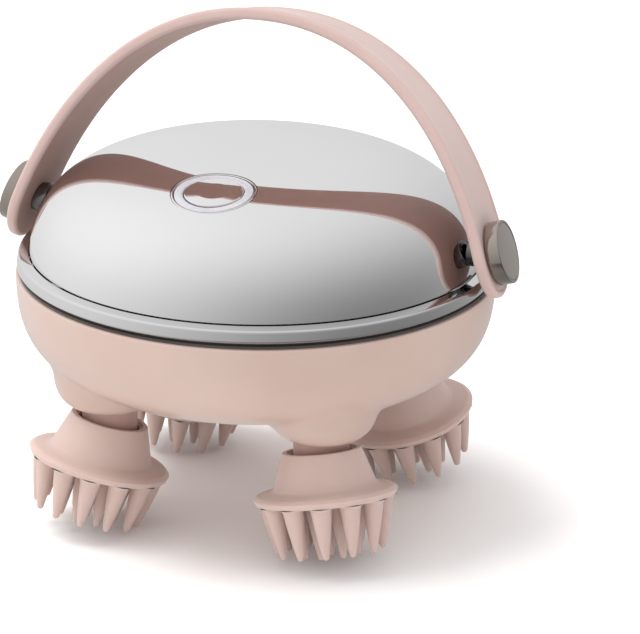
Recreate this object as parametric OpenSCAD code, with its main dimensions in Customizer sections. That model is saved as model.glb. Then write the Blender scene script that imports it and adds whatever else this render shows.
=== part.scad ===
// Electric scalp massager: a round hand-held body with a mirror dome, a strap
// handle and four splayed kneading heads that a gear train turns together.
// Millimetres. +Z is up, X runs along the handle's pivots, and the origin is on
// the surface that the lowest tine tips stand on, under the centre of the body.

/* [Body] */
// Outer radius of the body at the seam between bowl and trim ring
seam_r = 52.8; // [50:0.1:56]
// Depth of the bowl below its widest line
bowl_depth = 29; // [26:0.5:33]
// Height of the bowl's widest line above the seam
bowl_widest = 3.2; // [2:0.1:5]
// Fullness of the bowl's side, 2 is an ellipse and 4 almost a box
bowl_power = 3.5; // [3:0.1:4.5]
// Wall of the bowl
bowl_wall = 2.2; // [1.6:0.1:3]

/* [Dome] */
// Width of the trim ring between the seam and the dome's crease, seen from above
rim_w = 2.8; // [2.2:0.1:3.4]
// Height of the crease above the seam
crease_h = 4; // [3:0.1:5]
// Height of the dome above the crease
dome_h = 23; // [21:0.5:27]
// Fullness of the dome's shoulder, 2 is an ellipse
dome_power = 2.8; // [2.4:0.1:3.2]
// Wall of the dome
dome_wall = 2; // [1.6:0.1:2.6]

/* [Button] */
// Distance of the power button from the middle of the dome, towards the front
button_offset = 27; // [22:0.5:32]
// Radius of the power button
button_r = 6.1; // [5:0.1:7]
// Outer radius of the light ring round the button
light_ring_r = 8.3; // [8:0.1:9]
// Width of the bezel outside the light ring
bezel_w = 0.9; // [0.7:0.1:1.5]
// Travel of the button
button_travel = 0.8; // [0.5:0.1:1]

/* [Heads] */
// Radius of the circle that the four output shafts stand on
shaft_circle_r = 35; // [34:0.25:36]
// Angle by which each head leans outwards
head_tilt = 15; // [10:1:18]
// Drop from the seam to the point where a head's axis meets its shaft's axis
head_drop = 30.8; // [30:0.1:34]
// Outer radius of a head's collar at the top
collar_r = 8.6; // [8.4:0.1:9.2]
// Outer radius of a head's flange
flange_r = 15.8; // [15:0.1:17]
// Length of a head from the top of the collar to the underside of the flange
head_len = 10.9; // [10.5:0.1:13]
// Radius of an output shaft
shaft_r = 2.5; // [2:0.1:3]

/* [Tines] */
// Number of tines in the outer ring of a head
outer_tines = 12; // [8:1:13]
// Number of tines in the inner ring of a head
inner_tines = 8; // [5:1:8]
// Radius of a tine at its root
tine_root_r = 2.3; // [1.8:0.1:2.5]
// Radius of a tine's rounded tip
tine_tip_r = 0.75; // [0.5:0.05:1.2]
// Length of an outer tine from the flange to its tip
tine_len = 11.4; // [9:0.1:13]
// Angle by which the outer tines lean towards the head's axis
tine_lean = 5.4; // [0:0.2:7]

/* [Strap] */
// Gap between the dome's crease and the strap's inner face, across the pivots
strap_clearance = 2.5; // [1.5:0.1:4]
// Height of the arch's outer face above the pivots
strap_rise = 47.5; // [44:0.5:56]
// Depth of the arch's widest line below the pivots, which makes the arms lean inwards
strap_drop = 39; // [30:1:50]
// Width of the strap
strap_w = 18.8; // [16:0.2:20]
// Thickness of the strap
strap_t = 2.6; // [2:0.1:3]
// Angle by which the strap leans back at rest
strap_lean = 13.5; // [0:0.5:20]
// Height of the strap's pivots above the seam
pivot_h = 9.8; // [9:0.1:12]
// Radius of the studs that carry the strap
stud_r = 7; // [6:0.1:7.5]
// Thickness of a stud's head
stud_t = 3.3; // [2.5:0.1:4]
// Radius of a stud's pin
shank_r = 2; // [1.5:0.1:2.2]

/* [Gear train] */
// Teeth of the sun gear in the middle, a multiple of four
sun_teeth = 48; // [44:4:52]
// Teeth of each output gear, an even number
output_teeth = 22; // [20:2:24]
// Teeth of the idler's small gear
idler_small_teeth = 15; // [13:1:17]
// Teeth of the idler's large gear
idler_large_teeth = 36; // [30:1:40]
// Teeth of the motor's pinion
motor_teeth = 12; // [10:1:14]
// Module of the motor's pinion and the idler's large gear
fine_module = 0.6; // [0.5:0.02:0.64]
// Thickness of the gears in the lower plane
gear_t = 4; // [3:0.1:4.2]
// Play between meshing teeth, along the pitch circle
backlash = 0.16; // [0.1:0.01:0.2]

/* [Drive and electrics] */
// Radius of the motor
motor_r = 12; // [9:0.5:12.5]
// Height of the motor
motor_h = 17.5; // [14:0.5:18]
// Radius of the battery cell
battery_r = 8.6; // [6:0.1:8.8]
// Length of the battery cell
battery_len = 58; // [40:1:64]
// Radius of the circuit board
board_r = 36.5; // [35.5:0.5:37]
// Radius of the charging socket's bore
jack_r = 1.8; // [1.5:0.1:2.4]
// Depth of the charging socket's bore
jack_depth = 8; // [6:0.5:9]

/* [Hidden] */

$fn = 96;
slide_gap = 0.3;    // between curved faces that move past each other
run_gap = 0.08;     // radial play of a shaft in its bearing
face_gap = 0.15;    // between flat faces that slide on each other
fit_gap = 0.05;     // between fixed pieces that fit into each other
eps = 0.01;
cut_past = 1;         // how far a cutter runs past the face that it opens

// --- Outlines of the body, measured from the seam ---

// Radius of a superellipse at height h above its base
function super_r(base_r, height, power, h) =
    base_r * pow(max(0, 1 - pow(h / height, power)), 1 / power);
// Height of a superellipse at radius r
function super_h(base_r, height, power, r) =
    height * pow(max(0, 1 - pow(r / base_r, power)), 1 / power);
// Points of a superellipse from its base to its top, evenly spread along the curve
function super_arc(base_r, height, power, steps) = [
    for (i = [0:steps])
        let (a = 90 * i / steps)
        [base_r * pow(cos(a), 2 / power), height * pow(sin(a), 2 / power)]
];

outline_steps = 28;
body_r = seam_r + 0.2;
crease_r = seam_r - rim_w;

// Bowl's outer face, from the seam down to the middle of its underside
function bowl_points(r, depth) = [
    for (p = super_arc(r, depth, bowl_power, outline_steps)) [p[0], bowl_widest - p[1]]
];
function dome_points(r, h) = [
    for (p = super_arc(r, h, dome_power, outline_steps)) [p[0], crease_h + p[1]]
];
bowl_floor = bowl_widest - bowl_depth;

// --- Trim ring, seal and dome skirt ---
seal_t = 0.5;
seal_inset = 0.5;
skirt_depth = 4;
skirt_r = seam_r - bowl_wall - fit_gap;      // outside of the trim ring's skirt
dome_step = 0.7;
dome_skirt_r = crease_r - dome_step;
dome_skirt_wall = 1.6;

// --- Heads: a is the distance down a head's own axis from its pivot point ---
collar_wall = 1.1;
hub_wall = 0.6;
flange_w = 4.4;
cone_end_r = flange_r - flange_w;
flange_depth = 2.7;
cone_len = head_len - flange_depth;
flange_edge = 1.1;
head_floor = 1.5;
hub_seat = head_len - head_floor;
hub_top = 4.8;
hub_disc_r = cone_end_r - 1.6;
hub_cup_r = collar_r - collar_wall;
flange_round = 0.25;
outer_ring_r = flange_r - tine_root_r - flange_round - 0.1;
ring_pitch = 5.8;
inner_ring_r = outer_ring_r - ring_pitch;
inner_tine_len = tine_len + 0.9;
tip_ring_r = outer_ring_r - (tine_len - tine_tip_r) * sin(tine_lean);
tip_reach = head_len + (tine_len - tine_tip_r) * cos(tine_lean);
seam_z = head_drop + tip_reach * cos(head_tilt) + tip_ring_r * sin(head_tilt) + tine_tip_r;

// --- Lobes and necks ---
lobe_r = 12.4;
neck_show = 2.8;      // length of a neck below its lobe, down to the head's pivot
lobe_bottom = head_drop - neck_show;
lobe_round_h = 12;    // height over which a lobe's bottom rounds into its side
lobe_power = 3.4;
lobe_steps = 16;
lobe_wall = 2;
neck_r = 6.1;
neck_reach = 2.5;
neck_flange_r = 8.5;
neck_flange_t = 1.6;
neck_floor = lobe_wall + 0.4 - lobe_bottom;   // the floor that a neck's flange lies on

// --- Gear planes, measured from the seam ---
plate_t = 2;
sun_hub_wall = 3;
base_plate_top = -15;
plate_room = 1;
base_plate_r = super_r(body_r - bowl_wall, bowl_depth - bowl_wall, bowl_power,
    bowl_widest - base_plate_top + plate_t) - plate_room;
hub_gap = 0.2;
gear_plane = base_plate_top + 1;
fine_plane = gear_plane + gear_t + 0.9;
fine_t = 2;
cover_bottom = fine_plane + fine_t + 1.6;
cover_top = cover_bottom + plate_t;
cover_plate_r = base_plate_r + 0.5;
coarse_module = 2 * shaft_circle_r / (sun_teeth + output_teeth);
pressure_angle = 20;
addendum = 0.8;
dedendum = 1.05;
idler_y = -coarse_module * (sun_teeth + idler_small_teeth) / 2;
motor_y = idler_y + fine_module * (idler_large_teeth + motor_teeth) / 2;
sun_axle_r = 2.5;
idler_axle_r = 1.5;
motor_shaft_r = 1;
motor_shaft_inside = 6;

// --- Fixings ---
post_r = 3.4;
post_circle_r = 33.5;
post_angles = [0, 90, 180];
screw_r = 1.3;
screw_head_r = 2.5;
screw_head_t = 1.4;
board_t = 1.6;
board_clearance = 1;
board_z = cover_top + motor_h + board_clearance;
board_post_r = 2.4;
board_post_circle_r = 33;
board_post_angles = [55, 125, 235, 305];
board_post_solid = 4;      // height of a board post below its pilot hole
board_screw_len = 8;
plate_screw_bite = 3;      // depth of a plate screw in its floor post
pilot_depth = plate_screw_bite + 1.5;
battery_setback = 3.5;
battery_y = battery_r + battery_setback;
saddle_w = 4;

// --- Strap and pivots ---
strap_power = 2.1;
strap_steps = 40;
strap_span_r = crease_r + strap_clearance + strap_t;   // outer faces at the pivots
arch_h = strap_rise + strap_drop;
arch_r = strap_span_r / pow(1 - pow(strap_drop / arch_h, strap_power), 1 / strap_power);
strap_end_r = strap_w / 2;
panel_recess = 0.3;
panel_margin = 1.7;
// Angle by which the panel's face leans inwards at the pivots
panel_h = arch_h - panel_recess;
panel_tilt = atan((arch_r - panel_recess) / panel_h * pow(strap_drop / panel_h, strap_power - 1)
    * pow(1 - pow(strap_drop / panel_h, strap_power), 1 / strap_power - 1));
spacer_r = 3.6;
spacer_seat = 0.1;
pivot_seat_x = super_r(crease_r, dome_h, dome_power, pivot_h + spacer_r - crease_h) - spacer_seat;
anchor_inset = 8.8;
anchor_outer_x = seam_r - anchor_inset;
anchor_w = 9;
anchor_t = 6.5;
pin_head_t = 1;
pin_head_lip = 0.9;

// --- Button: its axis is square to the dome's face ---
button_face_h = super_h(crease_r, dome_h, dome_power, button_offset);
button_slope = atan(dome_h / crease_r * pow(button_offset / crease_r, dome_power - 1)
    * pow(1 - pow(button_offset / crease_r, dome_power), 1 / dome_power - 1));
light_ring_inner_r = button_r + slide_gap;
bezel_r = light_ring_r + bezel_w;
ring_depth = 2.4;
bezel_top = 0.1;
bezel_ledge = 0.6;
lip_t = 0.8;
lip_w = 0.5;
switch_body = 6;
switch_h = 3.4;
switch_stem_r = 1.6;
button_z = crease_h + button_face_h;
stem_r = 2.2;
switch_top = board_z + board_t + switch_h;
stem_len = (button_z - switch_top - button_travel) / cos(button_slope) - 0.1
    - stem_r * tan(button_slope);

// --- Charging socket in the back of the bowl ---
jack_body_r = jack_r + 1.7;
jack_z = cover_bottom - slide_gap - jack_body_r;
jack_wall = 1.2;
jack_inset = 1.3;

shell_color = "#d8c0b4";
silicone_color = "#d4afa8";
chrome_color = "#c8cacc";
gunmetal_color = "#8f857f";

module at_seam() {
    translate([0, 0, seam_z])
        children();
}

module revolve(points) {
    rotate_extrude()
        polygon(points);
}

// Moves its children to output shaft n, with +X pointing away from the body's middle
module at_shaft(n) {
    rotate([0, 0, 45 + 90 * (n - 1)])
        translate([shaft_circle_r, 0, seam_z])
            children();
}

// Moves its children into a head's own frame, where -Z runs down the head's axis
module at_head(n) {
    at_shaft(n)
        translate([0, 0, -head_drop])
            rotate([0, -head_tilt, 0])
                children();
}

module at_button() {
    translate([0, -button_offset, seam_z + button_z])
        rotate([button_slope, 0, 0])
            children();
}

// Rod along X from x1 to x2
module x_rod(x1, x2, r) {
    translate([x1, 0, 0])
        rotate([0, 90, 0])
            cylinder(r = r, h = x2 - x1);
}

// --- Housing ---

module lobe_outside() {
    revolve(concat(
        [[0, cover_bottom], [lobe_r, cover_bottom]],
        [for (p = super_arc(lobe_r, lobe_round_h, lobe_power, lobe_steps))
            [p[0], lobe_round_h - lobe_bottom - p[1]]]
    ));
}

// Room in a lobe: a seat for the neck's flange, and a wider bore over it
module lobe_inside() {
    seat_step = 2;
    translate([0, 0, neck_floor])
        cylinder(r = neck_flange_r + 0.5, h = lobe_bottom);
    translate([0, 0, neck_floor + seat_step])
        cylinder(r = lobe_r - lobe_wall, h = lobe_bottom);
}

module bowl_outside() {
    intersection() {
        revolve(concat([[0, bowl_widest]], bowl_points(body_r, bowl_depth)));
        translate([0, 0, bowl_floor - 1])
            cylinder(r = body_r + 1, h = -seal_t - bowl_floor + 1);
    }
}

module bowl_inside() {
    inner_r = body_r - bowl_wall;
    revolve(concat(
        [[0, bowl_widest]],
        [for (p = super_arc(inner_r, bowl_depth - bowl_wall, bowl_power, outline_steps))
            [p[0], bowl_widest - p[1]]]
    ));
}

module anchor_post() {
    post_bottom = base_plate_top + 1;
    foot_h = 6;
    difference() {
        translate([anchor_outer_x - anchor_t, -anchor_w / 2, post_bottom])
            cube([anchor_t, anchor_w, pivot_h + anchor_w / 2 - post_bottom]);
        translate([0, 0, pivot_h])
            x_rod(anchor_outer_x - anchor_t - cut_past, anchor_outer_x + cut_past,
                shank_r + run_gap);
    }
    // Foot that ties the post to the wall of the bowl, under the skirts
    intersection() {
        translate([anchor_outer_x - 1, -anchor_w / 2, post_bottom])
            cube([seam_r - anchor_outer_x, anchor_w, foot_h]);
        bowl_outside();
    }
}

// Post on the bowl's floor that carries the gear train
module floor_post() {
    intersection() {
        translate([post_circle_r, 0, bowl_floor])
            cylinder(r = post_r, h = base_plate_top - plate_t - bowl_floor);
        bowl_outside();
    }
}

// Hole for a plate screw in a floor post, and in the wall that may reach it
module floor_post_pilot() {
    translate([post_circle_r, 0, base_plate_top - plate_t - pilot_depth])
        cylinder(r = screw_r + fit_gap, h = pilot_depth + cut_past);
}

module lower_housing() {
    color(shell_color)
        difference() {
            union() {
                difference() {
                    union() {
                        at_seam() bowl_outside();
                        for (n = [1:4])
                            at_shaft(n) lobe_outside();
                    }
                    at_seam() bowl_inside();
                    for (n = [1:4])
                        at_shaft(n) lobe_inside();
                }
                for (a = post_angles)
                    rotate([0, 0, a])
                        at_seam() floor_post();
                for (side = [0, 180])
                    rotate([0, 0, side])
                        at_seam() anchor_post();
            }
            for (n = [1:4])
                at_shaft(n)
                    translate([0, 0, -lobe_bottom - cut_past])
                        cylinder(r = neck_r + fit_gap, h = lobe_wall + 3 * cut_past);
            for (a = post_angles)
                rotate([0, 0, a])
                    at_seam() floor_post_pilot();
            // Hole for the charging socket, longer than the wall is thick
            translate([0, body_r - jack_depth, seam_z + jack_z])
                rotate([-90, 0, 0])
                    cylinder(r = jack_body_r + fit_gap, h = jack_depth + cut_past);
        }
}

module housing_seal() {
    color("#8d8480")
        translate([0, 0, seam_z - seal_t])
            difference() {
                cylinder(r = seam_r - seal_inset, h = seal_t);
                translate([0, 0, -cut_past])
                    cylinder(r = skirt_r + fit_gap, h = seal_t + 2 * cut_past);
            }
}

module trim_ring() {
    bulge_steps = 10;
    bulge = 0.45;
    color(chrome_color)
        at_seam()
            revolve(concat(
                [[dome_skirt_r + fit_gap, -skirt_depth], [skirt_r, -skirt_depth],
                 [skirt_r, 0], [seam_r - 0.25, 0]],
                // Face from the seam up to the crease, slightly full
                [for (i = [0:bulge_steps])
                    let (t = i / bulge_steps)
                    [seam_r - rim_w * t + bulge * sin(180 * t),
                     0.3 + (crease_h - 0.3) * t + bulge * sin(180 * t)]],
                [[crease_r - 0.4, crease_h - 0.2], [dome_skirt_r + fit_gap, crease_h - 2.2]]
            ));
}

module dome_outside() {
    revolve(concat(
        [[0, -skirt_depth], [dome_skirt_r, -skirt_depth], [dome_skirt_r, crease_h - 2],
         [crease_r - 0.5, crease_h - 0.1]],
        dome_points(crease_r - 0.1, dome_h)
    ));
}

module dome_inside() {
    inner_r = dome_skirt_r - dome_skirt_wall;
    revolve(concat(
        [[0, -skirt_depth - 1], [inner_r, -skirt_depth - 1]],
        dome_points(inner_r, dome_h - dome_wall)
    ));
}

module dome_cover() {
    color(chrome_color)
        difference() {
            at_seam()
                difference() {
                    dome_outside();
                    dome_inside();
                }
            at_button()
                translate([0, 0, -dome_wall * 4])
                    cylinder(r = bezel_r + fit_gap, h = dome_wall * 8);
            for (side = [0, 180])
                rotate([0, 0, side])
                    translate([0, 0, seam_z + pivot_h]) {
                        x_rod(anchor_outer_x, crease_r + cut_past, shank_r + slide_gap);
                        x_rod(pivot_seat_x, crease_r + cut_past, spacer_r + slide_gap);
                    }
        }
}

// --- Button ---

module button_bezel() {
    bottom = -ring_depth - fit_gap;
    color(chrome_color)
        at_button()
            revolve([
                [light_ring_r - bezel_ledge, bottom - bezel_ledge], [bezel_r, bottom - bezel_ledge],
                [bezel_r, bezel_top - 0.3], [bezel_r - 0.3, bezel_top],
                [light_ring_r + fit_gap, bezel_top], [light_ring_r + fit_gap, bottom],
                [light_ring_r - bezel_ledge, bottom]
            ]);
}

module light_ring() {
    color("#f4f2f4")
        at_button()
            revolve([
                [light_ring_inner_r, -ring_depth], [light_ring_r, -ring_depth],
                [light_ring_r, bezel_top], [light_ring_inner_r + 0.5, bezel_top],
                [light_ring_inner_r, bezel_top - 0.4]
            ]);
}

module power_button() {
    lip_top = -ring_depth - slide_gap;
    color(chrome_color)
        at_button() {
            // Cap with a lip that the light ring holds down, and a slightly domed face
            revolve([
                [0, lip_top - lip_t], [light_ring_inner_r + lip_w, lip_top - lip_t],
                [light_ring_inner_r + lip_w, lip_top], [button_r, lip_top],
                [button_r, -0.25], [button_r - 0.3, 0], [button_r / 2, 0.18], [0, 0.25]
            ]);
            translate([0, 0, -stem_len])
                cylinder(r = stem_r, h = stem_len + lip_top);
        }
}

module button_switch() {
    color("#2b2b2e")
        translate([0, 0, seam_z + board_z + board_t]) {
            axis_y = -button_offset - stem_len * sin(button_slope);
            body_h = switch_h * 0.7;
            translate([-switch_body / 2, axis_y - switch_body / 2, 0])
                cube([switch_body, switch_body, body_h]);
            translate([0, axis_y, body_h - eps])
                cylinder(r = switch_stem_r, h = switch_h - body_h + eps);
        }
}

// --- Electrics ---

module circuit_board() {
    color("#2f5d46")
        difference() {
            translate([0, 0, seam_z + board_z])
                cylinder(r = board_r, h = board_t);
            for (a = board_post_angles)
                rotate([0, 0, a])
                    translate([board_post_circle_r, 0, seam_z])
                        cylinder(r = screw_r + fit_gap, h = 2 * board_z);
        }
}

module indicator_lamps() {
    lamp = [2, 1.2, 0.9];
    lamp_circle_r = light_ring_r;
    axis_y = -button_offset - stem_len * sin(button_slope);
    color("#f6efc8")
        translate([0, axis_y, seam_z + board_z + board_t])
            for (a = [45:90:315])
                rotate([0, 0, a])
                    translate([lamp_circle_r - lamp[0] / 2, -lamp[1] / 2, 0])
                        cube(lamp);
}

module screw(length) {
    translate([0, 0, -length])
        cylinder(r = screw_r, h = length);
    difference() {
        cylinder(r = screw_head_r, h = screw_head_t);
        // Socket for the driver
        translate([0, 0, screw_head_t / 2])
            cylinder(r = screw_head_r / 2, h = screw_head_t, $fn = 6);
    }
}

module board_screws() {
    color("#9a9a9c")
        for (a = board_post_angles)
            rotate([0, 0, a])
                translate([board_post_circle_r, 0, seam_z + board_z + board_t])
                    screw(board_screw_len);
}

module battery() {
    cap_r = battery_r * 0.35;
    color("#3f6fa0")
        translate([0, battery_y, seam_z + cover_top + battery_r + fit_gap]) {
            x_rod(-battery_len / 2, battery_len / 2, battery_r);
            x_rod(battery_len / 2 - eps, battery_len / 2 + 1.2, cap_r);
        }
}

module charging_socket() {
    mouth_y = super_r(body_r, bowl_depth, bowl_power, bowl_widest - jack_z) - jack_inset;
    color("#3a3536")
        translate([0, mouth_y, seam_z + jack_z])
            rotate([90, 0, 0])
                difference() {
                    cylinder(r = jack_body_r, h = jack_depth + jack_wall);
                    translate([0, 0, -1])
                        cylinder(r = jack_r, h = jack_depth + 1);
                }
}

// --- Gear train ---

function involute(angle) = tan(angle) - angle * PI / 180;

// Half of a tooth's angle at radius r, in degrees
function tooth_half_angle(teeth, pitch_r, r) =
    let (base_r = pitch_r * cos(pressure_angle),
         at_r = r <= base_r ? 0 : acos(base_r / r))
    90 / teeth - backlash / 4 / pitch_r * 180 / PI
        + (involute(pressure_angle) - involute(at_r)) * 180 / PI;

// Outline of a gear with a tooth on its +X axis
function gear_outline(teeth, module_size) =
    let (pitch_r = teeth * module_size / 2,
         root_r = pitch_r - dedendum * module_size,
         tip_r = pitch_r + addendum * module_size,
         base_r = max(root_r + 0.02, pitch_r * cos(pressure_angle)),
         radii = [root_r, base_r, (base_r + pitch_r) / 2, pitch_r,
                  (pitch_r + tip_r) / 2, tip_r])
    [for (k = [0:teeth - 1])
        for (side = [-1, 1])
            for (i = [0:len(radii) - 1])
                let (r = radii[side < 0 ? i : len(radii) - 1 - i],
                     a = 360 * k / teeth + side * tooth_half_angle(teeth, pitch_r, r))
                r * [cos(a), sin(a)]];

module gear(teeth, module_size, thickness) {
    linear_extrude(height = thickness)
        polygon(gear_outline(teeth, module_size));
}

module motor() {
    color("#b9babd")
        translate([0, motor_y, seam_z]) {
            difference() {
                translate([0, 0, cover_top])
                    cylinder(r = motor_r, h = motor_h);
                translate([0, 0, cover_top - 1])
                    cylinder(r = motor_shaft_r + run_gap, h = motor_shaft_inside + 1.2);
                // Flats on both sides of the can
                for (side = [-1, 1])
                    translate([side * motor_r * 0.88 - (side < 0 ? motor_r : 0),
                               -motor_r, cover_top - 1])
                        cube([motor_r, 2 * motor_r, motor_h + 2]);
            }
        }
}

module motor_shaft() {
    color("#b9babd")
        translate([0, motor_y, seam_z + fine_plane])
            cylinder(r = motor_shaft_r, h = cover_top - fine_plane + motor_shaft_inside);
}

module motor_pinion() {
    color("#c9b27a")
        translate([0, motor_y, seam_z + fine_plane])
            difference() {
                // A gap faces the idler
                rotate([0, 0, -90 + 180 / motor_teeth])
                    gear(motor_teeth, fine_module, fine_t);
                translate([0, 0, -1])
                    cylinder(r = motor_shaft_r + fit_gap, h = fine_t + 2);
            }
}

module idler_gear() {
    color("#e9e4d8")
        translate([0, idler_y, seam_z])
            difference() {
                union() {
                    // A gap of the small gear faces the sun gear
                    translate([0, 0, gear_plane])
                        rotate([0, 0, 90 + 180 / idler_small_teeth])
                            gear(idler_small_teeth, coarse_module,
                                fine_plane - gear_plane + eps);
                    // A tooth of the large gear faces the pinion
                    translate([0, 0, fine_plane])
                        rotate([0, 0, 90])
                            gear(idler_large_teeth, fine_module, fine_t);
                    translate([0, 0, base_plate_top + hub_gap])
                        cylinder(r = idler_axle_r + 1.6,
                            h = cover_bottom - base_plate_top - 2 * hub_gap);
                }
                translate([0, 0, base_plate_top - 1])
                    cylinder(r = idler_axle_r + run_gap, h = cover_top - base_plate_top + 2);
            }
}

module axle(r) {
    cylinder(r = r, h = cover_top - base_plate_top + plate_t);
}

module idler_axle() {
    color("#b9babd")
        translate([0, idler_y, seam_z + base_plate_top - plate_t])
            axle(idler_axle_r);
}

module sun_axle() {
    color("#b9babd")
        translate([0, 0, seam_z + base_plate_top - plate_t])
            axle(sun_axle_r);
}

module sun_gear() {
    web_holes = 6;
    web_hole_r = 3.6;
    web_circle_r = coarse_module * sun_teeth / 2 * 0.56;
    color("#e9e4d8")
        at_seam()
            difference() {
                union() {
                    translate([0, 0, gear_plane])
                        gear(sun_teeth, coarse_module, gear_t);
                    translate([0, 0, base_plate_top + hub_gap])
                        cylinder(r = sun_axle_r + sun_hub_wall,
                            h = cover_bottom - base_plate_top - 2 * hub_gap);
                }
                translate([0, 0, base_plate_top - 1])
                    cylinder(r = sun_axle_r + run_gap, h = cover_top - base_plate_top + 2);
                for (k = [0:web_holes - 1])
                    rotate([0, 0, 360 * k / web_holes])
                        translate([web_circle_r, 0, gear_plane - 1])
                            cylinder(r = web_hole_r, h = gear_t + 2);
            }
}

module output_gear(n) {
    color("#e9e4d8")
        at_shaft(n)
            difference() {
                union() {
                    // A gap faces the sun gear
                    translate([0, 0, gear_plane])
                        rotate([0, 0, 180 + 180 / output_teeth])
                            gear(output_teeth, coarse_module, gear_t);
                    translate([0, 0, base_plate_top + hub_gap])
                        cylinder(r = shaft_r + 2,
                            h = cover_bottom - base_plate_top - 2 * hub_gap);
                }
                translate([0, 0, base_plate_top - 1])
                    cylinder(r = shaft_r + fit_gap, h = cover_top - base_plate_top + 2);
            }
}

// Plate with the bores that both plates share
module drilled_plate(r, bottom, idler_bore_r) {
    at_seam()
        difference() {
            translate([0, 0, bottom])
                cylinder(r = r, h = plate_t);
            translate([0, 0, bottom - 1])
                cylinder(r = sun_axle_r + fit_gap, h = plate_t + 2);
            translate([0, idler_y, bottom - 1])
                cylinder(r = idler_bore_r, h = plate_t + 2);
            for (a = [45:90:315])
                rotate([0, 0, a])
                    translate([shaft_circle_r, 0, bottom - 1])
                        cylinder(r = shaft_r + run_gap, h = plate_t + 2);
            for (a = post_angles)
                rotate([0, 0, a])
                    translate([post_circle_r, 0, bottom - 1])
                        cylinder(r = screw_r + fit_gap, h = plate_t + 2);
            // Notches round the strap's anchors
            for (side = [0, 180])
                rotate([0, 0, side])
                    translate([anchor_outer_x - anchor_t - fit_gap,
                               -anchor_w / 2 - fit_gap, bottom - 1])
                        cube([anchor_t * 3, anchor_w + 2 * fit_gap, plate_t + 2]);
        }
}

module gear_base_plate() {
    color("#d9d5cf") {
        drilled_plate(base_plate_r, base_plate_top - plate_t, idler_axle_r + fit_gap);
        // Pillars between the two plates
        for (a = post_angles)
            rotate([0, 0, a])
                translate([post_circle_r, 0, seam_z + base_plate_top])
                    difference() {
                        translate([0, 0, -eps])
                            cylinder(r = post_r - 0.4, h = cover_bottom - base_plate_top + eps);
                        translate([0, 0, -1])
                            cylinder(r = screw_r + fit_gap,
                                h = cover_bottom - base_plate_top + 2);
                    }
    }
}

module gear_cover_plate() {
    saddle_h = battery_r * 0.6;
    color("#d9d5cf") {
        difference() {
            drilled_plate(cover_plate_r, cover_bottom, idler_axle_r + fit_gap);
            translate([0, motor_y, seam_z + cover_bottom - 1])
                cylinder(r = motor_shaft_r + 1, h = plate_t + 2);
        }
        for (a = board_post_angles)
            rotate([0, 0, a])
                translate([board_post_circle_r, 0, seam_z + cover_top])
                    difference() {
                        translate([0, 0, -eps])
                            cylinder(r = board_post_r, h = board_z - cover_top + eps);
                        translate([0, 0, board_post_solid])
                            cylinder(r = screw_r + fit_gap, h = board_z);
                    }
        // Saddles for the battery
        difference() {
            for (side = [-1, 1])
                translate([side * battery_len / 3 - saddle_w / 2, battery_y - battery_r,
                           seam_z + cover_top - eps])
                    cube([saddle_w, 2 * battery_r, saddle_h]);
            translate([0, battery_y, seam_z + cover_top + battery_r + fit_gap])
                x_rod(-battery_len, battery_len, battery_r + fit_gap);
        }
    }
}

module plate_screws() {
    length = cover_top - base_plate_top + plate_t + plate_screw_bite;
    color("#9a9a9c")
        for (a = post_angles)
            rotate([0, 0, a])
                translate([post_circle_r, 0, seam_z + cover_top])
                    screw(length);
}

// --- Output shafts, necks and heads ---

module output_shaft(n) {
    knuckle_r = shaft_r + 0.4;
    color("#b9babd") {
        at_shaft(n)
            translate([0, 0, -head_drop])
                cylinder(r = shaft_r, h = head_drop + cover_top - 0.2);
        at_head(n) {
            sphere(r = knuckle_r);
            translate([0, 0, -hub_seat + 0.2])
                cylinder(r = shaft_r, h = hub_seat - 0.2);
        }
    }
}

module neck_sleeve(n) {
    knuckle_room = shaft_r + 0.4 + slide_gap;
    color(silicone_color)
        at_shaft(n)
            difference() {
                revolve([
                    [shaft_r + run_gap, -head_drop - neck_reach],
                    [neck_r - 0.3, -head_drop - neck_reach],
                    [neck_r, -head_drop - neck_reach + 0.3],
                    [neck_r, neck_floor], [neck_flange_r, neck_floor],
                    [neck_flange_r, neck_floor + neck_flange_t],
                    [neck_r - 1, neck_floor + neck_flange_t],
                    [neck_r - 1, base_plate_top - plate_t - 0.3],
                    [shaft_r + run_gap, base_plate_top - plate_t - 0.3]
                ]);
                // Room for the shaft's knuckle and the start of its leaning end
                translate([0, 0, -head_drop - neck_reach - 1])
                    cylinder(r1 = knuckle_room + 1.3, r2 = knuckle_room,
                        h = neck_reach + 1 + knuckle_room);
            }
}

module head_hub(n) {
    color("#e9e4d8")
        at_head(n)
            revolve([
                [shaft_r + fit_gap, -hub_top], [shaft_r + 2, -hub_top],
                [shaft_r + 2, -hub_seat + 2.2], [hub_cup_r - hub_wall, -hub_seat + 2.2],
                [hub_cup_r - hub_wall, -0.6], [hub_cup_r, -0.6],
                [hub_cup_r, -hub_seat + 3.6], [hub_disc_r, -hub_seat + 0.9],
                [hub_disc_r, -hub_seat], [shaft_r + fit_gap, -hub_seat]
            ]);
}

// Tine that grows down from the flange's underside, with a rounded tip
module tine(length) {
    tip_steps = 3;
    root = 0.6;
    revolve(concat(
        [[0, root], [tine_root_r, root], [tine_root_r, 0]],
        [for (i = [0:tip_steps])
            let (a = 90 * i / tip_steps)
            [tine_tip_r * cos(a), tine_tip_r - length - tine_tip_r * sin(a)]]
    ));
}

// Ring of tines, the first of them on the side that leans inwards under the body
module tine_ring(count, ring_r, length, lean) {
    for (k = [0:count - 1])
        rotate([0, 0, 180 + 360 * k / count])
            translate([ring_r, 0, -head_len])
                rotate([0, lean, 0])
                    tine(length);
}

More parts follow.
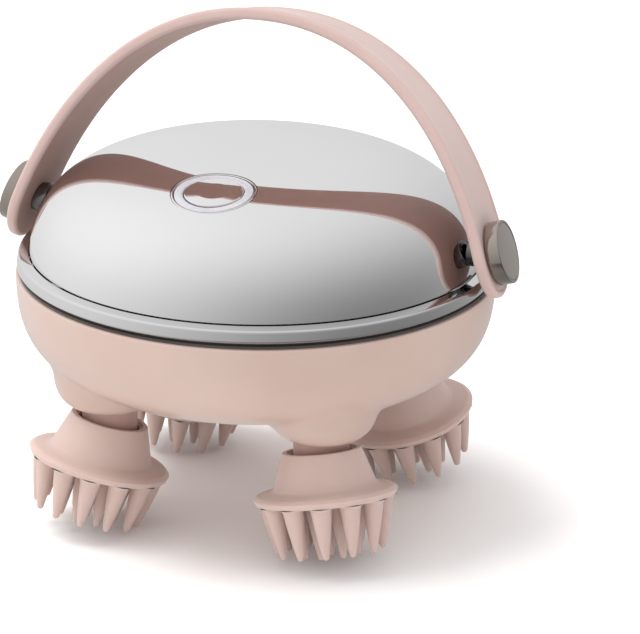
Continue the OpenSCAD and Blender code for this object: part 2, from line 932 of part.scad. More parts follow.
module massage_head(n) {
    color(silicone_color)
        at_head(n) {
            revolve([
                [0, -hub_seat - fit_gap], [hub_disc_r + fit_gap, -hub_seat - fit_gap],
                [hub_disc_r + fit_gap, -hub_seat + 0.9],
                [hub_cup_r + fit_gap, -hub_seat + 3.6], [hub_cup_r + fit_gap, -0.2],
                [hub_cup_r + 0.3, 0], [collar_r - 0.3, 0], [collar_r, -0.3],
                [cone_end_r - 0.5, -cone_len + 1], [cone_end_r, -cone_len],
                [cone_end_r + 1, -cone_len - 0.6],
                [flange_r - flange_round, -head_len + flange_edge],
                [flange_r, -head_len + flange_edge - flange_round],
                [flange_r, -head_len + flange_round],
                [flange_r - flange_round, -head_len], [0, -head_len]
            ]);
            tine_ring(outer_tines, outer_ring_r, tine_len, tine_lean);
            tine_ring(inner_tines, inner_ring_r, inner_tine_len, tine_lean / 2);
            translate([0, 0, -head_len])
                tine(inner_tine_len);
        }
}

// --- Strap handle ---

// Half of the arch's width at height h above the pivots, for a face at an inset
function arch_x(inset, h) =
    super_r(arch_r - inset, arch_h - inset, strap_power, strap_drop + h);

// Points along a face of the arch, from one foot over the top to the other
function arch_points(inset, foot) =
    let (h = arch_h - inset,
         first = asin(pow((strap_drop - foot) / h, strap_power / 2)))
    [for (i = [0:strap_steps])
        let (a = first + (180 - 2 * first) * i / strap_steps)
        [(arch_r - inset) * pow(abs(cos(a)), 2 / strap_power) * (a > 90 ? -1 : 1),
         h * pow(sin(a), 2 / strap_power) - strap_drop]];

module arch_band(outer_inset, inner_inset) {
    foot = strap_end_r + 1;
    difference() {
        polygon(arch_points(outer_inset, foot));
        polygon(arch_points(inner_inset, foot + 1));
    }
}

// Band of width w with round ends about the pivots
module strap_layer(w, outer_inset, inner_inset) {
    reach = arch_r + 2;
    intersection() {
        rotate([90, 0, 0])
            linear_extrude(height = w, center = true)
                arch_band(outer_inset, inner_inset);
        union() {
            translate([-reach, -w, 0])
                cube([2 * reach, 2 * w, strap_rise + 2]);
            x_rod(-reach, reach, w / 2);
        }
    }
}

// Moves its children to the pivots' axis, leaning back as the strap does
module at_pivot() {
    translate([0, 0, seam_z + pivot_h])
        rotate([-strap_lean, 0, 0])
            children();
}

module strap() {
    inner_w = strap_w - 2 * panel_margin;
    color(silicone_color)
        at_pivot()
            difference() {
                strap_layer(strap_w, 0, strap_t);
                // Panel between the raised edges
                strap_layer(inner_w, -1, panel_recess);
                x_rod(-strap_span_r - 2, strap_span_r + 2, shank_r + fit_gap);
            }
}

// The head lies flat on the strap's leaning face, and the pin runs along the pivots' axis
module stud() {
    bevel = 0.9;
    foot = 0.5;
    seat_x = arch_x(panel_recess, 0);
    pin_start = anchor_outer_x - anchor_t - face_gap;
    at_pivot() {
        translate([seat_x, 0, 0])
            rotate([0, 90 - panel_tilt, 0])
                translate([0, 0, fit_gap])
                    revolve([
                        [0, 0], [stud_r - bevel, 0], [stud_r - bevel, foot],
                        [stud_r - 0.3, foot], [stud_r, bevel], [stud_r, stud_t - bevel],
                        [stud_r - bevel, stud_t], [0, stud_t]
                    ]);
        x_rod(pin_start - eps, seat_x + stud_t / 2, shank_r);
        // Riveted end that keeps the pin in its anchor
        x_rod(pin_start - pin_head_t, pin_start, shank_r + pin_head_lip);
    }
}

module left_stud() {
    color(gunmetal_color)
        mirror([1, 0, 0]) stud();
}

module right_stud() {
    color(gunmetal_color)
        stud();
}

// Collar between the dome and the strap, cut off along the strap's inner face
module spacer() {
    at_pivot()
        difference() {
            intersection() {
                x_rod(pivot_seat_x + face_gap, strap_span_r, spacer_r);
                rotate([90, 0, 0])
                    linear_extrude(height = strap_w, center = true)
                        polygon(arch_points(strap_t + fit_gap, strap_end_r));
            }
            x_rod(pivot_seat_x - 1, strap_span_r, shank_r + fit_gap);
        }
}

module left_spacer() {
    color(chrome_color)
        mirror([1, 0, 0]) spacer();
}

module right_spacer() {
    color(chrome_color)
        spacer();
}

lower_housing();
housing_seal();
trim_ring();
dome_cover();
button_bezel();
light_ring();
power_button();
button_switch();
circuit_board();
indicator_lamps();
board_screws();
battery();
motor();
motor_shaft();
motor_pinion();
idler_gear();
idler_axle();
sun_gear();
sun_axle();
gear_base_plate();
gear_cover_plate();
plate_screws();
charging_socket();
for (n = [1:4]) {
    neck_sleeve(n);
    output_shaft(n);
    output_gear(n);
    head_hub(n);
    massage_head(n);
}
strap();
left_stud();
right_stud();
left_spacer();
right_spacer();
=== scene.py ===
import logging
import math
from dataclasses import dataclass, field
from enum import Enum
from typing import Callable, Iterable, Sequence

import bmesh
import bpy
from mathutils import Matrix, Vector


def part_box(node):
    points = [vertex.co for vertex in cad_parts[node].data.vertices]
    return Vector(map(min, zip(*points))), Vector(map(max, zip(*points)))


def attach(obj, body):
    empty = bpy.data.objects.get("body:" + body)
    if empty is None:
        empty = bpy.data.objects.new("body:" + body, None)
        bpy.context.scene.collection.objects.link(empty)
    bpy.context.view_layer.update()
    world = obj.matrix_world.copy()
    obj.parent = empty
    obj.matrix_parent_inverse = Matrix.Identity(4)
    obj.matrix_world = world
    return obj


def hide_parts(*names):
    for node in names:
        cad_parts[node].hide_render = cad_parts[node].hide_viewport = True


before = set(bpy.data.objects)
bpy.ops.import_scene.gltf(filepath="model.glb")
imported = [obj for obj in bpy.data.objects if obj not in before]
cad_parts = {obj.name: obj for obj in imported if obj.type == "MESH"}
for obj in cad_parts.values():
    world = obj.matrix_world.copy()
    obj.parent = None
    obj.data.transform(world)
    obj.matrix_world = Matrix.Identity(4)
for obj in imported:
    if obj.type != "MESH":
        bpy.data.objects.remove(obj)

MM = 0.001
SHAFT_CIRCLE_R = 35.0
SHAFT_ANGLES = (45, 135, 225, 315)
LOBE_BOTTOM = -28.0
SHARP_ANGLE = 34.0
POLISHED_SHARP_ANGLE = 24.0
SOFT_SHARP_ANGLE = 50.0
log = logging.getLogger("scalp_massager")

Profile = list[tuple[float, float]]
Corner = tuple[float, float, float]


# --- Outlines, in millimetres ------------------------------------------------


def rounded_outline(corners: Sequence[Corner], steps: int = 5) -> Profile:
    """Turns a chain of corners into an outline with round corners.

    Args:
        corners: (radius from the axis, height, rounding) of each corner.
        steps: Pieces in each rounding.

    Returns:
        Points of the outline, ends kept as they are.
    """
    points: Profile = []
    last = len(corners) - 1
    leg_share = 0.49
    for index, (r, z, rounding) in enumerate(corners):
        here = Vector((r, z))
        if rounding <= 0 or index in (0, last):
            points.append((r, z))
            continue
        before = Vector(corners[index - 1][:2]) - here
        after = Vector(corners[index + 1][:2]) - here
        turn = before.angle(after)
        reach = min(rounding / math.tan(turn / 2), before.length * leg_share,
                    after.length * leg_share)
        start = here + before.normalized() * reach
        end = here + after.normalized() * reach
        for step in range(steps + 1):
            t = step / steps
            spot = start * (1 - t) ** 2 + here * 2 * t * (1 - t) + end * t ** 2
            points.append((spot.x, spot.y))
    return points


@dataclass(frozen=True)
class Superellipse:
    """A curve from a widest line to a pole, full sideways and upwards by its own powers."""

    radius: float
    height: float
    power: float
    rise_power: float

    def arc(self, steps: int) -> Profile:
        """Returns (radius, height) points, denser where the curve turns fast."""
        points: Profile = []
        for step in range(steps + 1):
            angle = math.pi / 2 * step / steps
            points.append((self.radius * max(0.0, math.cos(angle)) ** (2 / self.power),
                           self.height * math.sin(angle) ** (2 / self.rise_power)))
        return points

    def height_at(self, r: float) -> float:
        """Height over the widest line at distance r from the axis."""
        inward = max(0.0, 1 - min(1.0, r / self.radius) ** self.power)
        return self.height * inward ** (1 / self.rise_power)


# --- Meshes ------------------------------------------------------------------


def close_mesh(bm: bmesh.types.BMesh, name: str,
               sharp_angle: float = SHARP_ANGLE) -> bpy.types.Object:
    """Makes an object of a mesh in millimetres, smooth but for its sharp edges.

    Args:
        bm: Mesh under construction, which is freed.
        name: Name of the object.
        sharp_angle: Edges that bend by more degrees than this stay sharp.

    Returns:
        The new object, linked to the scene.
    """
    weld = 0.0005
    bmesh.ops.remove_doubles(bm, verts=bm.verts, dist=weld)
    bmesh.ops.recalc_face_normals(bm, faces=bm.faces)
    limit = math.radians(sharp_angle)
    for face in bm.faces:
        face.smooth = True
    for edge in bm.edges:
        edge.smooth = len(edge.link_faces) == 2 and edge.calc_face_angle(0.0) < limit
    bmesh.ops.scale(bm, vec=(MM, MM, MM), verts=bm.verts)
    mesh = bpy.data.meshes.new(name)
    bm.to_mesh(mesh)
    bm.free()
    piece = bpy.data.objects.new(name, mesh)
    bpy.context.scene.collection.objects.link(piece)
    return piece


def lathe(bm: bmesh.types.BMesh, outline: Profile, segments: int, place: Matrix) -> None:
    """Adds the surface that an outline sweeps round its axis.

    Args:
        bm: Mesh that takes the surface.
        outline: (radius, height) points.
        segments: Steps round the axis.
        place: Matrix from the outline's own frame to the object's frame.
    """
    rings: list[list[bmesh.types.BMVert]] = []
    for r, z in outline:
        if r < 1e-6:
            rings.append([bm.verts.new(place @ Vector((0, 0, z)))])
            continue
        ring = []
        for step in range(segments):
            angle = math.tau * step / segments
            ring.append(bm.verts.new(place @ Vector((r * math.cos(angle), r * math.sin(angle), z))))
        rings.append(ring)
    for lower, upper in zip(rings, rings[1:]):
        for step in range(segments):
            corners = [lower[step % len(lower)], lower[(step + 1) % len(lower)],
                       upper[(step + 1) % len(upper)], upper[step % len(upper)]]
            unique = list(dict.fromkeys(corners))
            if len(unique) > 2:
                bm.faces.new(unique)


def lathe_piece(name: str, outline: Profile, place: Matrix, segments: int = 96,
                sharp_angle: float = SHARP_ANGLE) -> bpy.types.Object:
    """Makes one turned piece.

    Args:
        name: Name of the object.
        outline: (radius, height) points in millimetres.
        place: Matrix from the outline's frame to the object's frame.
        segments: Steps round the axis.
        sharp_angle: Edges that bend by more degrees than this stay sharp.

    Returns:
        The new object.
    """
    bm = bmesh.new()
    lathe(bm, outline, segments, place)
    return close_mesh(bm, name, sharp_angle)


def open_hole(bm: bmesh.types.BMesh, centre: Vector, axis: Vector, radius: float,
              settle: Callable[[Vector], Vector], reach: float,
              wall: float) -> list[bmesh.types.BMVert]:
    """Cuts a clean round hole in a dense surface.

    Points inside the hole move out to its edge and settle back on the surface, and the faces
    that lie wholly inside go.

    Args:
        bm: Mesh with the surface.
        centre: A point of the hole's axis.
        axis: Unit direction of the hole's axis, pointing out of the surface.
        radius: Radius of the hole.
        settle: Puts a moved point back on the surface.
        reach: How far from the centre along the axis a point may be to count.
        wall: Depth of the wall that the hole gets, 0 for none.

    Returns:
        The points of the hole's edge.
    """
    side = axis.orthogonal().normalized()
    other = axis.cross(side)

    def polar(spot: Vector) -> tuple[float, float, float]:
        """Distance from the axis, angle round it and height along it."""
        offset = spot - centre
        x, y = offset.dot(side), offset.dot(other)
        return math.hypot(x, y), math.atan2(y, x), offset.dot(axis)

    inside = set()
    for vert in bm.verts:
        distance, _, height = polar(vert.co)
        if distance < radius and abs(height) < reach:
            inside.add(vert)
    doomed = [face for face in bm.faces if all(vert in inside for vert in face.verts)]
    bmesh.ops.delete(bm, geom=doomed, context="FACES")
    edge_verts = [vert for vert in bm.verts if vert.is_valid and vert in inside]
    settling_rounds = 4
    for vert in edge_verts:
        for _ in range(settling_rounds):
            _, angle, height = polar(vert.co)
            out = side * math.cos(angle) + other * math.sin(angle)
            vert.co = settle(centre + axis * height + out * radius)
    rim = [edge for edge in bm.edges
           if edge.is_boundary and edge.verts[0] in inside and edge.verts[1] in inside]
    if wall > 0:
        deeper = bmesh.ops.extrude_edge_only(bm, edges=rim)["geom"]
        for item in deeper:
            if isinstance(item, bmesh.types.BMVert):
                item.co -= axis * wall
    return edge_verts


# --- Node groups that several finishes share ---------------------------------


class Effect(Enum):
    """The shared effects, by the name of their node group."""

    GRAIN = "fine_grain"
    SMUDGE = "hand_smudges"
    MOTTLE = "soft_mottle"


def group_sockets(tree: bpy.types.NodeTree, values: Iterable[tuple[str, float]],
                  outputs: Iterable[str]) -> tuple[bpy.types.Node, bpy.types.Node]:
    """Gives a node group a Vector input, number inputs and number outputs.

    Args:
        tree: The node group.
        values: Name and default of each number input.
        outputs: Name of each output.

    Returns:
        The group's input and output nodes.
    """
    tree.interface.new_socket(name="Vector", in_out="INPUT", socket_type="NodeSocketVector")
    for name, default in values:
        socket = tree.interface.new_socket(name=name, in_out="INPUT", socket_type="NodeSocketFloat")
        socket.default_value = default
    for name in outputs:
        tree.interface.new_socket(name=name, in_out="OUTPUT", socket_type="NodeSocketFloat")
    return tree.nodes.new("NodeGroupInput"), tree.nodes.new("NodeGroupOutput")


def add_node(tree: bpy.types.NodeTree, kind: str, values: dict[str | int, object],
             operation: str = "") -> bpy.types.Node:
    """Adds a shader node and fills its inputs.

    Args:
        tree: Node tree that takes it.
        kind: Its type.
        values: What each input takes, another node's socket or a constant.
        operation: Operation of a node that has one.

    Returns:
        The node.
    """
    node = tree.nodes.new(kind)
    if operation:
        node.operation = operation
    for key, value in values.items():
        if isinstance(value, bpy.types.NodeSocket):
            tree.links.new(value, node.inputs[key])
        else:
            node.inputs[key].default_value = value
    return node


def scaled(start: bpy.types.Node) -> dict[str, bpy.types.NodeSocket]:
    """Returns the group's own Vector and Scale, as inputs of a texture node."""
    return {name: start.outputs[name] for name in ("Vector", "Scale")}


def build_grain_group() -> bpy.types.NodeTree:
    """Builds the fine grain of moulded rubber and plastic.

    Returns:
        Node group with a Height output for bumps and a Mask output for colour.
    """
    tree = bpy.data.node_groups.new(Effect.GRAIN.value, "ShaderNodeTree")
    start, end = group_sockets(tree, [("Scale", 2500.0)], ["Height", "Mask"])
    pores = add_node(tree, "ShaderNodeTexVoronoi", scaled(start))
    powder = add_node(tree, "ShaderNodeTexNoise",
                      scaled(start) | {"Detail": 3.0, "Roughness": 0.6})
    mix = add_node(tree, "ShaderNodeMath",
                   {0: pores.outputs["Distance"], 1: 0.5, 2: powder.outputs["Fac"]},
                   "MULTIPLY_ADD")
    tree.links.new(mix.outputs["Value"], end.inputs["Height"])
    tree.links.new(powder.outputs["Fac"], end.inputs["Mask"])
    return tree


def build_smudge_group() -> bpy.types.NodeTree:
    """Builds the faint smudges that hands leave on polished metal.

    Returns:
        Node group with a Mask output, 0 on clean metal.
    """
    tree = bpy.data.node_groups.new(Effect.SMUDGE.value, "ShaderNodeTree")
    start, end = group_sockets(tree, [("Scale", 40.0), ("Amount", 0.5)], ["Mask"])
    clouds = add_node(tree, "ShaderNodeTexNoise",
                      scaled(start) | {"Detail": 5.0, "Roughness": 0.62, "Distortion": 0.8})
    spread = add_node(tree, "ShaderNodeMapRange",
                      {"Value": clouds.outputs["Fac"], "From Min": 0.52, "From Max": 0.78,
                       "To Max": start.outputs["Amount"]})
    tree.links.new(spread.outputs["Result"], end.inputs["Mask"])
    return tree


def build_mottle_group() -> bpy.types.NodeTree:
    """Builds the slow change of tone over a moulded piece.

    Returns:
        Node group with a Mask output round 0.5.
    """
    tree = bpy.data.node_groups.new(Effect.MOTTLE.value, "ShaderNodeTree")
    start, end = group_sockets(tree, [("Scale", 60.0)], ["Mask"])
    clouds = add_node(tree, "ShaderNodeTexNoise",
                      scaled(start) | {"Detail": 4.0, "Roughness": 0.55})
    tree.links.new(clouds.outputs["Fac"], end.inputs["Mask"])
    return tree


EFFECT_BUILDERS: dict[Effect, Callable[[], bpy.types.NodeTree]] = {
    Effect.GRAIN: build_grain_group,
    Effect.SMUDGE: build_smudge_group,
    Effect.MOTTLE: build_mottle_group,
}


def effect_tree(effect: Effect) -> bpy.types.NodeTree:
    """Returns the effect's node group, built on its first use."""
    return bpy.data.node_groups.get(effect.value) or EFFECT_BUILDERS[effect]()


def linear(color: Sequence[float]) -> tuple[float, float, float, float]:
    """Turns a screen colour of 0 to 255 into the shader's linear colour."""
    parts = [value / 255 for value in color]
    return tuple(part / 12.92 if part <= 0.04045 else ((part + 0.055) / 1.055) ** 2.4
                 for part in parts) + (1.0,)


@dataclass
class Surface:
    """A material under construction, with its shader and its coordinates."""

    name: str
    material: bpy.types.Material = field(init=False)
    shader: bpy.types.Node = field(init=False)
    coordinates: bpy.types.NodeSocket = field(init=False)

    def __post_init__(self) -> None:
        """Makes the material with one Principled shader and object coordinates."""
        self.material = bpy.data.materials.new(self.name)
        self.material.use_nodes = True
        self.shader = self.tree.nodes["Principled BSDF"]
        self.coordinates = add_node(self.tree, "ShaderNodeTexCoord", {}).outputs["Object"]

    @property
    def tree(self) -> bpy.types.NodeTree:
        """The material's node tree."""
        return self.material.node_tree

    def settle(self, **values: float) -> None:
        """Sets plain numbers on the shader's own sockets, named with underscores."""
        for key, value in values.items():
            self.shader.inputs[key.replace("_", " ")].default_value = value

    def effect(self, effect: Effect, **values: float) -> bpy.types.Node:
        """Places a shared effect in the material.

        Args:
            effect: Which effect.
            values: Its number inputs.

        Returns:
            The group node.
        """
        node = self.tree.nodes.new("ShaderNodeGroup")
        node.node_tree = effect_tree(effect)
        self.tree.links.new(self.coordinates, node.inputs["Vector"])
        for key, value in values.items():
            node.inputs[key].default_value = value
        return node

    def tint(self, mask: bpy.types.NodeSocket, dark: Sequence[float],
             light: Sequence[float]) -> None:
        """Colours the surface between two tones, given as screen colours."""
        ramp = add_node(self.tree, "ShaderNodeValToRGB", {"Fac": mask})
        for stop, position, color in zip(ramp.color_ramp.elements, (0.3, 0.7), (dark, light)):
            stop.position = position
            stop.color = linear(color)
        self.tree.links.new(ramp.outputs["Color"], self.shader.inputs["Base Color"])

    def roughen(self, mask: bpy.types.NodeSocket, smooth: float, rough: float) -> None:
        """Lets the roughness follow a mask between two values."""
        spread = add_node(self.tree, "ShaderNodeMapRange",
                          {"Value": mask, "To Min": smooth, "To Max": rough})
        self.tree.links.new(spread.outputs["Result"], self.shader.inputs["Roughness"])

    def bump(self, height: bpy.types.NodeSocket, strength: float, distance: float) -> None:
        """Raises the surface by a height, distance in metres."""
        node = add_node(self.tree, "ShaderNodeBump",
                        {"Strength": strength, "Distance": distance, "Height": height})
        self.tree.links.new(node.outputs["Normal"], self.shader.inputs["Normal"])

    def mould(self, dark: Sequence[float], light: Sequence[float], mottle_scale: float,
              grain_scale: float, roughness: tuple[float, float],
              relief: tuple[float, float]) -> None:
        """Gives the surface the mottled tone and fine grain of a moulded piece.

        Args:
            dark: Screen colour of the dark tone.
            light: Screen colour of the light tone.
            mottle_scale: Scale of the slow change of tone.
            grain_scale: Scale of the grain.
            roughness: Roughness at the lows and highs of the grain.
            relief: Strength and depth of the grain, depth in metres.
        """
        mottle = self.effect(Effect.MOTTLE, Scale=mottle_scale)
        grain = self.effect(Effect.GRAIN, Scale=grain_scale)
        self.tint(mottle.outputs["Mask"], dark, light)
        self.roughen(grain.outputs["Mask"], *roughness)
        self.bump(grain.outputs["Height"], *relief)


# --- Finishes ----------------------------------------------------------------


@dataclass(frozen=True)
class SoftSilicone:
    """Matt silicone with a powdery skin."""

    name: str
    dark: tuple[float, float, float]
    light: tuple[float, float, float]
    roughness: float = 0.52
    grain_scale: float = 3200.0
    grain_depth: float = 0.00002
    glow: float = 0.12

    def material(self) -> bpy.types.Material:
        """Builds the material."""
        surface = Surface(self.name)
        surface.mould(self.dark, self.light, mottle_scale=55.0, grain_scale=self.grain_scale,
                      roughness=(self.roughness - 0.06, self.roughness + 0.08),
                      relief=(0.35, self.grain_depth))
        surface.settle(Subsurface_Weight=self.glow, Subsurface_Scale=0.002,
                       Sheen_Weight=0.18, Sheen_Roughness=0.5)
        surface.shader.inputs["Subsurface Radius"].default_value = (1.0, 0.45, 0.35)
        return surface.material


@dataclass(frozen=True)
class MouldedPlastic:
    """Satin moulded plastic with a fine spark-eroded grain."""

    name: str
    dark: tuple[float, float, float]
    light: tuple[float, float, float]
    roughness: float = 0.42
    grain_scale: float = 1800.0
    coat: float = 0.0

    def material(self) -> bpy.types.Material:
        """Builds the material."""
        surface = Surface(self.name)
        surface.mould(self.dark, self.light, mottle_scale=35.0, grain_scale=self.grain_scale,
                      roughness=(self.roughness - 0.05, self.roughness + 0.07),
                      relief=(0.25, 0.000015))
        surface.settle(Coat_Weight=self.coat, Coat_Roughness=0.2)
        return surface.material


@dataclass(frozen=True)
class PolishedMetal:
    """Metal from mirror bright to satin, with faint smudges."""

    name: str
    dark: tuple[float, float, float]
    light: tuple[float, float, float]
    smooth: float = 0.02
    rough: float = 0.09
    smudge_scale: float = 45.0
    grain_scale: float = 900.0
    grain_depth: float = 0.0

    def material(self) -> bpy.types.Material:
        """Builds the material."""
        surface = Surface(self.name)
        smudge = surface.effect(Effect.SMUDGE, Scale=self.smudge_scale, Amount=1.0)
        mottle = surface.effect(Effect.MOTTLE, Scale=self.smudge_scale * 0.6)
        surface.tint(mottle.outputs["Mask"], self.dark, self.light)
        surface.roughen(smudge.outputs["Mask"], self.smooth, self.rough)
        if self.grain_depth > 0:
            grain = surface.effect(Effect.GRAIN, Scale=self.grain_scale)
            surface.bump(grain.outputs["Height"], strength=0.3, distance=self.grain_depth)
        surface.settle(Metallic=1.0)
        return surface.material


@dataclass(frozen=True)
class MilkyLight:
    """Milky light guide with a clear skin."""

    name: str = "milky_light_guide"
    dark: tuple[float, float, float] = (186, 185, 191)
    light: tuple[float, float, float] = (198, 197, 203)

    def material(self) -> bpy.types.Material:
        """Builds the material."""
        surface = Surface(self.name)
        surface.mould(self.dark, self.light, mottle_scale=160.0, grain_scale=1500.0,
                      roughness=(0.16, 0.24), relief=(0.1, 0.00001))
        surface.settle(Subsurface_Weight=0.4, Subsurface_Scale=0.0015,
                       Coat_Weight=0.6, Coat_Roughness=0.06)
        return surface.material


SHELL = MouldedPlastic("shell_satin_beige", (194, 168, 156), (201, 176, 165),
                       roughness=0.36, coat=0.6)
STRAP_SILICONE = SoftSilicone("strap_silicone", (193, 166, 160), (200, 174, 168))
# Painted shade: a darker copy of the strap silicone for the strap's inner face, standing for the
# shade under the arch.
STRAP_INSIDE_PAINTED_SHADE = SoftSilicone("strap_inner_painted_shade", (172, 131, 119), (180, 139, 127))
HEAD_SILICONE = SoftSilicone("head_silicone", (200, 175, 166), (208, 184, 175), glow=0.25)
NECK_SILICONE = SoftSilicone("neck_silicone", (180, 144, 135), (188, 153, 144), roughness=0.48)
MIRROR = PolishedMetal("mirror_chrome", (229, 229, 230), (232, 232, 233),
                       smooth=0.01, rough=0.04)
TRIM_CHROME = PolishedMetal("trim_chrome", (214, 214, 215), (218, 218, 219),
                            smooth=0.01, rough=0.04)
GUNMETAL = PolishedMetal("stud_gunmetal", (160, 151, 143), (170, 161, 153), smooth=0.1,
                         rough=0.2, smudge_scale=60.0, grain_scale=2600.0, grain_depth=0.000003)
# Steel spacers, partly their own steel tone and partly painted shade: darkened so they blend with
# the shade in the gap between strap and dome.
SPACER_STEEL_PAINTED_SHADE = PolishedMetal("spacer_steel", (118, 116, 115), (128, 126, 125),
                           smooth=0.2, rough=0.3)
STEEL = PolishedMetal("ground_steel", (196, 196, 199), (208, 208, 211), smooth=0.18, rough=0.32)
BRASS = PolishedMetal("machined_brass", (205, 176, 112), (216, 188, 126), smooth=0.2, rough=0.34)
CAN_STEEL = PolishedMetal("motor_can_steel", (190, 190, 194), (202, 202, 206),
                          smooth=0.22, rough=0.36)
LIGHT_GUIDE = MilkyLight()
SEAL_RUBBER = SoftSilicone("seal_rubber", (70, 63, 60), (82, 75, 72), glow=0.0)
SWITCH_PLASTIC = MouldedPlastic("switch_plastic", (34, 34, 37), (46, 46, 49), roughness=0.5)
BOARD_MASK = MouldedPlastic("board_solder_mask", (28, 78, 54), (38, 92, 66),
                            roughness=0.3, grain_scale=600.0, coat=0.4)
LAMP_LENS = MouldedPlastic("lamp_lens", (240, 234, 196), (250, 245, 214),
                           roughness=0.15, grain_scale=2500.0, coat=0.5)
CELL_WRAP = MouldedPlastic("cell_wrap", (52, 100, 148), (62, 112, 160),
                           roughness=0.25, grain_scale=400.0, coat=0.3)
GEAR_PLASTIC = MouldedPlastic("gear_acetal", (228, 222, 208), (238, 233, 220), roughness=0.38)
FRAME_PLASTIC = MouldedPlastic("frame_plastic", (205, 199, 192), (216, 211, 204), roughness=0.5)

NODE_FINISHES: dict[object, tuple[str, ...]] = {
    SEAL_RUBBER: ("housing_seal",),
    SWITCH_PLASTIC: ("button_switch", "charging_socket"),
    BOARD_MASK: ("circuit_board",),
    LAMP_LENS: ("indicator_lamps",),
    CELL_WRAP: ("battery",),
    CAN_STEEL: ("motor",),
    BRASS: ("motor_pinion",),
    STEEL: ("motor_shaft", "idler_axle", "sun_axle", "board_screws", "plate_screws",
            "output_shaft_1", "output_shaft_2", "output_shaft_3", "output_shaft_4"),
    GEAR_PLASTIC: ("idler_gear", "sun_gear", "output_gear_1", "output_gear_2",
                   "output_gear_3", "output_gear_4"),
    FRAME_PLASTIC: ("gear_base_plate", "gear_cover_plate"),
    HEAD_SILICONE: ("head_hub_1", "head_hub_2", "head_hub_3", "head_hub_4"),
}


# --- Putting pieces in place -------------------------------------------------


@dataclass
class Dresser:
    """Gives pieces their finish, body and the node that they stand for."""

    materials: dict[str, bpy.types.Material] = field(default_factory=dict)

    def finish(self, finish: object) -> bpy.types.Material:
        """Returns a finish's material, built on its first use."""
        if finish.name not in self.materials:
            self.materials[finish.name] = finish.material()
        return self.materials[finish.name]

    def dress(self, piece: bpy.types.Object, finish: object, node: str, body: str) -> None:
        """Dresses a new piece that stands for a node.

        Args:
            piece: The piece.
            finish: Its finish.
            node: Node that it stands for.
            body: Body that it moves with.
        """
        piece.data.materials.append(self.finish(finish))
        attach(piece, body)
        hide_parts(node)
        log.info("%s stands for %s, %d faces", piece.name, node, len(piece.data.polygons))

    def repaint(self, node: str, finish: object) -> None:
        """Gives a node that stays its finish."""
        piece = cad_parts[node]
        piece.data.materials.clear()
        piece.data.materials.append(self.finish(finish))
        log.info("%s stays, %s", node, finish.name)


@dataclass(frozen=True)
class Levels:
    """Heights that every sub-assembly is built from, in millimetres."""

    seam: float
    pivot: float

    @classmethod
    def from_frame(cls) -> "Levels":
        """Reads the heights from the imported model."""
        skirt_depth = 4.0
        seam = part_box("trim_ring")[0][2] / MM + skirt_depth
        low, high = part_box("lower_housing")
        anchor_over_pivot = 4.5
        return cls(seam=seam, pivot=high[2] / MM - anchor_over_pivot)

    def at_seam(self) -> Matrix:
        """Matrix of the frame with its origin in the seam's middle."""
        return Matrix.Translation((0, 0, self.seam))


# --- Lower housing -----------------------------------------------------------


